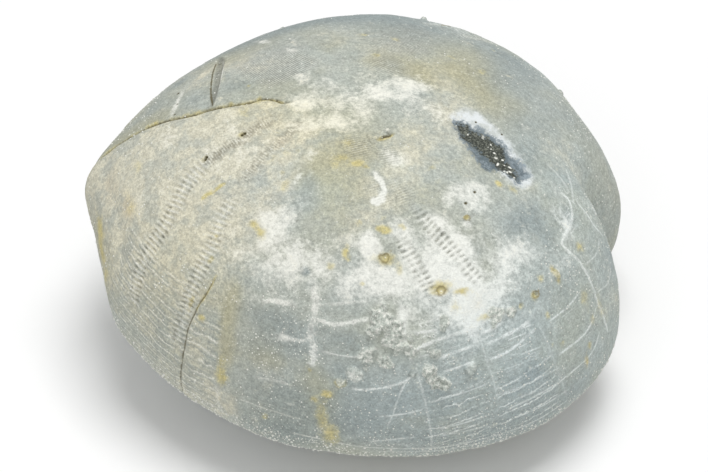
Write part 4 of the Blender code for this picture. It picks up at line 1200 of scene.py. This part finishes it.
def over(amount, under, colour, kind="MIX"):
    """A colour laid over another by an amount."""
    node = tree_of(amount, under, colour).nodes.new("ShaderNodeMix")
    node.data_type = "RGBA"
    node.blend_type = kind
    feed(node.inputs[0], amount)
    feed(node.inputs[6], under)
    feed(node.inputs[7], colour)
    return Wire(node.outputs[2])


def cloud(where, size, detail, roughness=0.5):
    """Noise from 0 to 1 with patches of about the given size."""
    node = where.tree.nodes.new("ShaderNodeTexNoise")
    node.inputs["Scale"].default_value = 1.0 / size
    node.inputs["Detail"].default_value = detail
    node.inputs["Roughness"].default_value = roughness
    feed(node.inputs["Vector"], where)
    return Wire(node.outputs["Fac"])


def dots(where, spacing, radius):
    """Small round dots, 1 in the middle and 0 outside."""
    node = where.tree.nodes.new("ShaderNodeTexVoronoi")
    node.inputs["Scale"].default_value = 1.0 / spacing
    node.inputs["Randomness"].default_value = 0.85
    feed(node.inputs["Vector"], where)
    return step_up(Wire(node.outputs["Distance"]), radius / spacing, 0.35 * radius / spacing)


class Stone:
    """The stone's material while it is made: its noises, its colour so far and its bumps."""

    def __init__(self, name):
        self.material = bpy.data.materials.new(name)
        self.material.use_nodes = True
        self.tree = self.material.node_tree
        self.tree.nodes.clear()
        self.where = Wire(self.tree.nodes.new("ShaderNodeTexCoord").outputs["Object"])
        self.broad = cloud(self.where, BROAD_SIZE, 3.0)
        self.patchy = cloud(self.where, PATCHY_SIZE, 5.0, 0.62)
        self.other = cloud(self.where, OTHER_SIZE, 4.0, 0.65)
        self.fine = cloud(self.where, FINE_SIZE, 4.0, 0.68)
        self.grain = cloud(self.where, GRAIN_SIZE, 2.0, 0.6)
        self.soft_edge = self.patchy - 0.5
        self.ragged = self.fine - 0.5
        self.broken = self.soft_edge + self.ragged * 0.55
        self.colour = BLUE_GREY
        self.height = self.fine * 1.1 + self.grain * 0.6 + self.other * 0.6

    def kept(self, name):
        """A number kept on the mesh's points."""
        node = self.tree.nodes.new("ShaderNodeAttribute")
        node.attribute_name = name
        return Wire(node.outputs["Fac"])

    def masked(self, name, noise, amount, low, high):
        """A soft mask from a kept number, with its edge broken up by noise."""
        return step_up(self.kept(name) + noise * amount, low, high)

    def line_mark(self, name):
        """1 on the middle of the drawn lines kept under a name, with ragged edges."""
        distance = calc("ABSOLUTE", self.kept(name)) + self.ragged * 4.0
        return step_up(distance, 1.15, 0.25) * self.kept(name + "_weight")

    def paint(self, amount, colour, kind="MIX"):
        """Lay a colour over what is there."""
        self.colour = over(amount, self.colour, colour, kind)

    def bump(self, wire, amount):
        """Raise the fine relief by a share of a wire."""
        self.height = self.height + wire * amount


def paint_ground(stone):
    """Grey stone, mottled pale, olive and cream, with chalk on it; gives the chalk's mask."""
    stone.paint(step_up(stone.broad, 0.40, 0.70, 0.0, 0.35), OLIVE_STONE)
    stone.paint(step_up(stone.other, 0.44, 0.72, 0.0, 0.30), PALE_GREY)
    stone.paint(step_up(stone.other, 0.46, 0.28, 0.0, 0.22), SLATE_STONE)
    stone.paint(stone.masked("olive", stone.broken, 0.8, 0.05, 0.95), OLIVE_STONE)
    # slate-grey stains, low on the sides partly painted shade towards the bottom
    stone.paint(stone.masked("slate", stone.broken, 0.8, 0.05, 0.95), SLATE_STONE)
    cream = over(step_up(stone.patchy, 0.36, 0.58), CREAM_GREY, CREAM_STONE)
    stone.paint(stone.masked("cream", stone.broken, 0.7, 0.0, 0.85), cream)
    chalk = stone.masked("chalk", stone.broken, 1.4, 0.16, 0.92)
    stone.paint(chalk * 0.95, CHALK_WHITE)
    return chalk


def paint_plates(stone):
    """Plate edges: faint white lines with darker joints beside them, and the drawn lines."""
    drift = stone.soft_edge * 1.1 + stone.ragged * 0.35
    edges = calc("ABSOLUTE", calc("FRACT", stone.kept("plates") + drift) - 0.5)
    seen = stone.kept("plates_weight") * step_up(stone.other, 0.34, 0.54)
    edge = step_up(edges, 0.10, 0.02) * seen
    joint = step_up(edges, 0.12, 0.22) * step_up(edges, 0.36, 0.24) * seen
    stone.paint(joint * 0.5, SLATE_STONE)
    stone.paint(edge * 0.75, CHALK_WHITE)
    lines = calc("MAXIMUM", stone.line_mark("down_lines"), stone.line_mark("level_lines"))
    lines = lines * step_up(stone.other, 0.37, 0.54, 0.40, 1.0)
    stone.paint(lines * 0.92, CHALK_WHITE)
    stone.bump(lines, 0.3)
    stone.bump(edge, 0.3)


def paint_petals(stone):
    """Fine stripes across the petals, and the dotted bands where their pores are worn away."""
    phase = stone.kept("stripes") * (2.0 * math.pi / STRIPE_PITCH)
    stripes = calc("SINE", phase + stone.ragged * 1.8) * stone.kept("stripes_weight")
    stripes = stripes * step_up(stone.other, 0.30, 0.55, 0.35, 1.0)
    stone.paint(calc("MULTIPLY", stripes, 0.42, True), CHALK_WHITE)
    stone.paint(calc("MULTIPLY", stripes, -0.42, True), DARK_MARK_AND_PORE_SHADE)
    stone.bump(stripes, 0.45)
    stone.paint(stone.kept("worn") * step_up(stone.fine, 0.60, 0.36, 0.10, 0.85), WORN_STONE)


def paint_stains(stone):
    """Rust and ochre stains, white ridges between the pores, and the painted shade in the pores."""
    stone.paint(stone.masked("rust", stone.broken, 0.8, 0.05, 0.9), RUST_STONE)
    stone.paint(stone.masked("ochre", stone.broken, 1.1, 0.14, 0.85) * 0.90, OCHRE_STONE)
    stone.paint(stone.kept("ridges") * 0.62, CHALK_WHITE)
    # painted shade in the pores
    stone.paint(stone.kept("pores"), DARK_MARK_AND_PORE_SHADE)


def paint_crusts(stone):
    """Pale grey grit, dark between its grains and in its small holes, with painted shade in its low places
    and painted shadow below steep lumps.
    """
    grit = cloud(stone.where, GRIT_SIZE, 3.0, 0.6)
    crust = stone.kept("crust")
    pale = over(step_up(grit, 0.46, 0.62), CRUST_GREY, CHALK_WHITE)
    stone.paint(crust * 0.92, over(step_up(grit, 0.42, 0.34, 0.0, 0.6), pale, CRUST_DARK))
    # painted shade in the crusts' low places and painted shadow below steep lumps
    stone.paint(stone.kept("crust_painted_shade") * 0.45, CRUST_DARK)
    holes = dots(stone.where, HOLE_SPACING, HOLE_RADIUS) * step_up(stone.fine, 0.42, 0.56)
    stone.paint(crust * 0.8 * holes, CRUST_DARK)


def paint_grain(stone, chalk):
    """White specks, small flaws, and the light and dark of the grain, weaker on the chalk."""
    speckle = dots(stone.where, SPECKLE_SPACING, SPECKLE_RADIUS) * step_up(stone.fine, 0.46, 0.62)
    stone.paint(speckle * 0.55, CHALK_WHITE)
    stone.bump(speckle, 0.4)
    flaw = step_up(stone.fine, 0.36, 0.26) * step_up(stone.patchy, 0.45, 0.6)
    stone.paint(flaw * 0.35, DARK_MARK_AND_PORE_SHADE)
    shade = step_up(stone.grain, 0.22, 0.78, 0.80, 1.16) * step_up(stone.fine, 0.28, 0.72, 0.78, 1.12)
    even = chalk * 0.6
    shade = shade * calc("SUBTRACT", 1.0, even) + even * 0.97
    greys = stone.tree.nodes.new("ShaderNodeCombineColor")
    for channel in greys.inputs:
        feed(channel, shade)
    stone.paint(1.0, Wire(greys.outputs[0]), "MULTIPLY")


def paint_hollow(stone):
    """The dark hollow with its flecks, in its white ring."""
    halo = step_up(stone.kept("halo") + stone.broken * 3.0, -0.6, 1.0)
    stone.paint(halo * step_up(stone.other, 0.36, 0.56, 0.45, 0.95), HALO_WHITE)
    hollow = stone.kept("hollow") + stone.ragged * 4.5
    haze = over(step_up(stone.fine, 0.40, 0.66), HOLLOW_RIM, HOLLOW_HAZE)
    stone.paint(step_up(hollow, -0.45, 0.55, 0.0, 0.95), haze)
    core = stone.kept("core") + stone.ragged * 5.0
    dark = over(step_up(stone.grain, 0.44, 0.66), HOLLOW_DARK, HOLLOW_SPECK)
    stone.paint(step_up(core, -0.40, 0.40, 0.0, 0.97), dark)
    stone.paint(stone.masked("flecks", stone.ragged, 1.6, 0.30, 0.8), CHALK_WHITE)


def paint_openings(stone):
    """The craters' rings, the painted shade in the pits, the dark fill of the groove, and the dirt and
    painted shade in the cracks.
    """
    stone.paint(stone.kept("rings") * 0.78, RING_DIRT)
    # painted shade in the deep pits
    stone.paint(stone.masked("pit_shade", stone.ragged, 1.2, 0.2, 0.85), PIT_SHADE)
    groove = step_up(stone.kept("groove") + stone.ragged * 0.9, -0.25, 0.20)
    stone.paint(groove * step_up(stone.fine, 0.3, 0.6, 0.95, 0.55), GROOVE_FILL)
    # dark line along the cracks: dirt and painted shade in them
    crack = calc("ABSOLUTE", stone.kept("cracks")) + stone.ragged * 2.6
    stone.paint(step_up(crack, 1.5, 0.2) * stone.kept("cracks_weight"), CRACK_DIRT_AND_SHADE)


def urchin_stone():
    """Grey limestone test: mottled, chalky in places, with dirt in every opening."""
    stone = Stone("urchin_stone")
    chalk = paint_ground(stone)
    paint_plates(stone)
    stone.paint(stone.kept("blue"), BLUE_TINT, "MULTIPLY")
    stone.paint(stone.kept("warm"), WARM_TINT, "MULTIPLY")
    paint_petals(stone)
    paint_stains(stone)
    paint_crusts(stone)
    paint_grain(stone, chalk)
    paint_hollow(stone)
    paint_openings(stone)

    bump = stone.tree.nodes.new("ShaderNodeBump")
    bump.inputs["Strength"].default_value = BUMP_STRENGTH
    bump.inputs["Distance"].default_value = BUMP_DISTANCE
    feed(bump.inputs["Height"], stone.height)
    shader = stone.tree.nodes.new("ShaderNodeBsdfPrincipled")
    shader.inputs["Specular IOR Level"].default_value = 0.28
    feed(shader.inputs["Base Color"], stone.colour)
    feed(shader.inputs["Roughness"],
         step_up(stone.fine, 0.3, 0.7, STONE_ROUGHNESS - 0.1, STONE_ROUGHNESS + 0.1))
    stone.tree.links.new(bump.outputs["Normal"], shader.inputs["Normal"])
    output = stone.tree.nodes.new("ShaderNodeOutputMaterial")
    stone.tree.links.new(shader.outputs["BSDF"], output.inputs["Surface"])
    return stone.material


def plain_material(name, colour, roughness):
    """One even colour."""
    material = bpy.data.materials.new(name)
    material.use_nodes = True
    shader = material.node_tree.nodes["Principled BSDF"]
    shader.inputs["Base Color"].default_value = colour
    shader.inputs["Roughness"].default_value = roughness
    shader.inputs["Specular IOR Level"].default_value = 0.1
    return material


# ---- Pieces -----------------------------------------------------------------
def link(name, data):
    """A new object in the scene."""
    thing = bpy.data.objects.new(name, data)
    bpy.context.scene.collection.objects.link(thing)
    return thing


def make_piece(name, points, triangles, material):
    """A smooth-shaded mesh object that rides on the one body and stands for the solid."""
    mesh = bpy.data.meshes.new(name)
    mesh.from_pydata(points.tolist(), [], triangles.tolist())
    mesh.update()
    mesh.shade_smooth()
    mesh.materials.append(material)
    piece = link(name, mesh)
    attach(piece, "root")
    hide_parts("fossil_urchin")
    return piece


def keep_numbers(piece, numbers):
    """Store named numbers on a piece's points for its material to read."""
    for name, values in numbers.items():
        layer = piece.data.attributes.new(name, "FLOAT", "POINT")
        layer.data.foreach_set("value", np.asarray(values, dtype=np.float32))


def lay_flat(piece, ball, triangles):
    """Map the upper half of the skin into one disc and the lower half into another."""
    bearing, polar = angles(ball)
    upper_corner = polar[triangles].mean(axis=1) < 0.5 * math.pi
    turned = np.where(upper_corner[:, None], polar[triangles], math.pi - polar[triangles])
    radius = 0.235 * turned / (0.5 * math.pi)
    middle = np.where(upper_corner, 0.25, 0.75)[:, None]
    u = middle + radius * np.cos(bearing[triangles])
    v = 0.5 + radius * np.sin(bearing[triangles])
    layer = piece.data.uv_layers.new(name="OFBake")
    layer.data.foreach_set("uv", np.stack((u, v), axis=-1).ravel())


def stone_numbers(plain, bearing, polar, in_hollow, in_groove):
    """The numbers that the stone's material reads, but for those of the relief."""
    beyond = beside_path(plain, CRACK, BEYOND_CRACK)[0]
    beyond = plateau(beyond, (-0.1 * MM, 0.4 * MM), (0.4 * BEYOND_CRACK, 0.9 * BEYOND_CRACK))
    shaded_pits = [(around, level, 1.4 * radius, 1.2 * radius, 1.0)
                  for around, level, radius, depth, rim in PITS
                  if depth > SHADED_PIT_DEPTH and rim < RINGED_RIM]
    chalk = 1.0 - (1.0 - stained(plain, CHALK)) * (1.0 - patched(plain, bearing, polar, PATCHES))
    numbers = {
        "cream": (1.0 - 0.8 * beyond) * stained(plain, CREAM),
        "chalk": chalk * (1.0 - stained(plain, BARE)),
        "slate": np.maximum(stained(plain, SLATE), 0.35 * beyond),
        "olive": np.maximum(stained(plain, OLIVE), streaked(plain, OLIVE_STREAKS)),
        "ochre": np.maximum(stained(plain, OCHRE), streaked(plain, OCHRE_STREAKS)),
        "worn": streaked(plain, WORN_STREAKS),
        "rings": ringed(plain),
        "hollow": in_hollow / MM,
        "groove": in_groove / MM,
    }
    for name, stains in (("rust", RUST), ("blue", BLUE), ("warm", WARM), ("flecks", FLECKS),
                         ("pit_shade", shaded_pits)):
        numbers[name] = stained(plain, stains)
    for name, outline in (("halo", HALO), ("core", CORE)):
        numbers[name] = inside_outline(plain, bearing, polar, outline) / MM
    for name, pair in (("down_lines", lined(plain, DOWN_LINES)), ("level_lines", lined(plain, LEVEL_LINES)),
                       ("cracks", lined(plain, CRACK_LINES)), ("plates", banded(bearing, polar)),
                       ("stripes", striped(plain))):
        numbers[name], numbers[name + "_weight"] = pair
    return numbers


def urchin_test(material):
    """The skin of the whole fossil, and how likely a bead of each kind is at its points."""
    ball, triangles = fine_skin()
    bearing, polar = angles(ball)
    plain = form(bearing, polar)
    normals = point_normals(plain, triangles)
    edge_noise = rough(plain, 1.3 * MM, SEED + 3, 2)
    in_hollow = inside_outline(plain, bearing, polar, HOLLOW) + 0.25 * MM * edge_noise
    in_groove = inside_outline(plain, bearing, polar, GROOVE)
    pores, pore_shade, ridges = pore_relief(plain)
    spots, crust, crust_painted_shade = spot_relief(plain)
    relief = pores + spots + crack_relief(plain, in_groove) + opening_relief(plain, bearing, polar)
    relief -= HOLLOW_DEPTH * ramp(in_hollow, -0.8 * MM, 1.2 * MM)
    relief += WAVE_HEIGHT * rough(plain, WAVE_SIZE, SEED + 8)
    relief += DIMPLE_HEIGHT * rough(plain, DIMPLE_SIZE, SEED + 9, 2)
    points = plain + relief[:, None] * normals
    points[:, 2] = np.maximum(points[:, 2], BASE_CUT)
    low, high = points.min(axis=0), points.max(axis=0)
    points -= np.array((0.5 * (low[0] + high[0]), 0.5 * (low[1] + high[1]), BASE_CUT))
    test = make_piece("urchin_test", points, triangles, material)

    numbers = stone_numbers(plain, bearing, polar, in_hollow, in_groove)
    keep_numbers(test, numbers)
    keep_numbers(test, {"pores": pore_shade, "ridges": ridges, "crust": crust, "crust_painted_shade": crust_painted_shade})
    lay_flat(test, ball, triangles)
    gathered = ramp(rough(plain, 4.0 * MM, SEED + 12), -0.5, 0.9)
    rim_chance = plateau(polar, *RIM_BEAD_BAND) * (0.3 + gathered)
    side_chance = plateau(polar, *SIDE_BEAD_BAND) * (0.15 + numbers["slate"])
    side_chance += 0.05 * plateau(polar, *TOP_BEAD_BAND)
    side_chance *= 0.1 + gathered
    return points, triangles, rim_chance, side_chance


def granules(name, points, triangles, chance, tries, gap, radius, material):
    """Many small beads of about the same size, as one piece."""
    random = np.random.default_rng(SEED + len(name))
    spots, outward = scattered(points, triangles, chance, tries, gap, random)
    radii = radius * (0.55 + 0.95 * random.random(len(spots)) ** 2)
    bead_points, bead_faces = bead_mesh(spots, outward, radii)
    bead_points[:, 2] = np.maximum(bead_points[:, 2], 0.0)
    return make_piece(name, bead_points, bead_faces, material)


# ---- Floor, light and camera ------------------------------------------------
CAMERA_TARGET = Vector((-3.66 * MM, -0.68 * MM, 24.8 * MM))
CAMERA_AZIMUTH = 4.5
CAMERA_ELEVATION = 43.0
CAMERA_DISTANCE = 520.0 * MM
CAMERA_LENS = 154.15
CAMERA_SHIFT = (0.0290, -0.0275)
SENSOR_WIDTH = 36.0
FLOOR_REACH = 3.0
WORLD_STRENGTH = 0.48
# Square lights that face the middle of the floor: name, place, size, power.
LIGHTS = (
    ("key_light", (0.10, 0.08, 1.10), 0.55, 7.6),
    ("front_light", (-0.30, -1.0, 0.75), 0.8, 2.1),
)


def floor_and_light():
    """A plain pale floor under soft studio light."""
    mesh = bpy.data.meshes.new("floor")
    size = FLOOR_REACH
    mesh.from_pydata([(-size, -size, 0), (size, -size, 0), (size, size, 0), (-size, size, 0)], [],
                     [(0, 1, 2, 3)])
    mesh.materials.append(plain_material("floor_white", FLOOR_WHITE, FLOOR_ROUGHNESS))
    link("floor", mesh)
    for name, place_in_room, size, power in LIGHTS:
        light = bpy.data.lights.new(name, "AREA")
        light.shape = "SQUARE"
        light.size = size
        light.energy = power
        lamp = link(name, light)
        lamp.location = place_in_room
        lamp.rotation_euler = (-Vector(place_in_room)).to_track_quat("-Z", "Y").to_euler()
    world = bpy.data.worlds.new("studio")
    world.use_nodes = True
    background = world.node_tree.nodes["Background"]
    background.inputs["Color"].default_value = (1.0, 1.0, 1.0, 1.0)
    background.inputs["Strength"].default_value = WORLD_STRENGTH
    bpy.context.scene.world = world
    bpy.context.scene.view_settings.view_transform = "Standard"


def camera():
    """The camera, looking down on the right side."""
    data = bpy.data.cameras.new("camera")
    data.lens = CAMERA_LENS
    data.sensor_width = SENSOR_WIDTH
    data.shift_x, data.shift_y = CAMERA_SHIFT
    azimuth, elevation = math.radians(CAMERA_AZIMUTH), math.radians(CAMERA_ELEVATION)
    towards = Vector((-math.sin(azimuth) * math.cos(elevation),
                      math.cos(azimuth) * math.cos(elevation), -math.sin(elevation)))
    view = link("camera", data)
    view.location = CAMERA_TARGET - CAMERA_DISTANCE * towards
    view.rotation_euler = towards.to_track_quat("-Z", "Y").to_euler()
    bpy.context.scene.camera = view


floor_and_light()
camera()
skin, faces, rim_share, side_share = urchin_test(urchin_stone())
bead_stone = plain_material("bead_stone", BEAD_WHITE, BEAD_ROUGHNESS)
granules("rim_granules", skin, faces, rim_share, RIM_BEADS, RIM_BEAD_GAP, RIM_BEAD_RADIUS, bead_stone)
granules("side_granules", skin, faces, side_share, SIDE_BEADS, SIDE_BEAD_GAP, SIDE_BEAD_RADIUS, bead_stone)
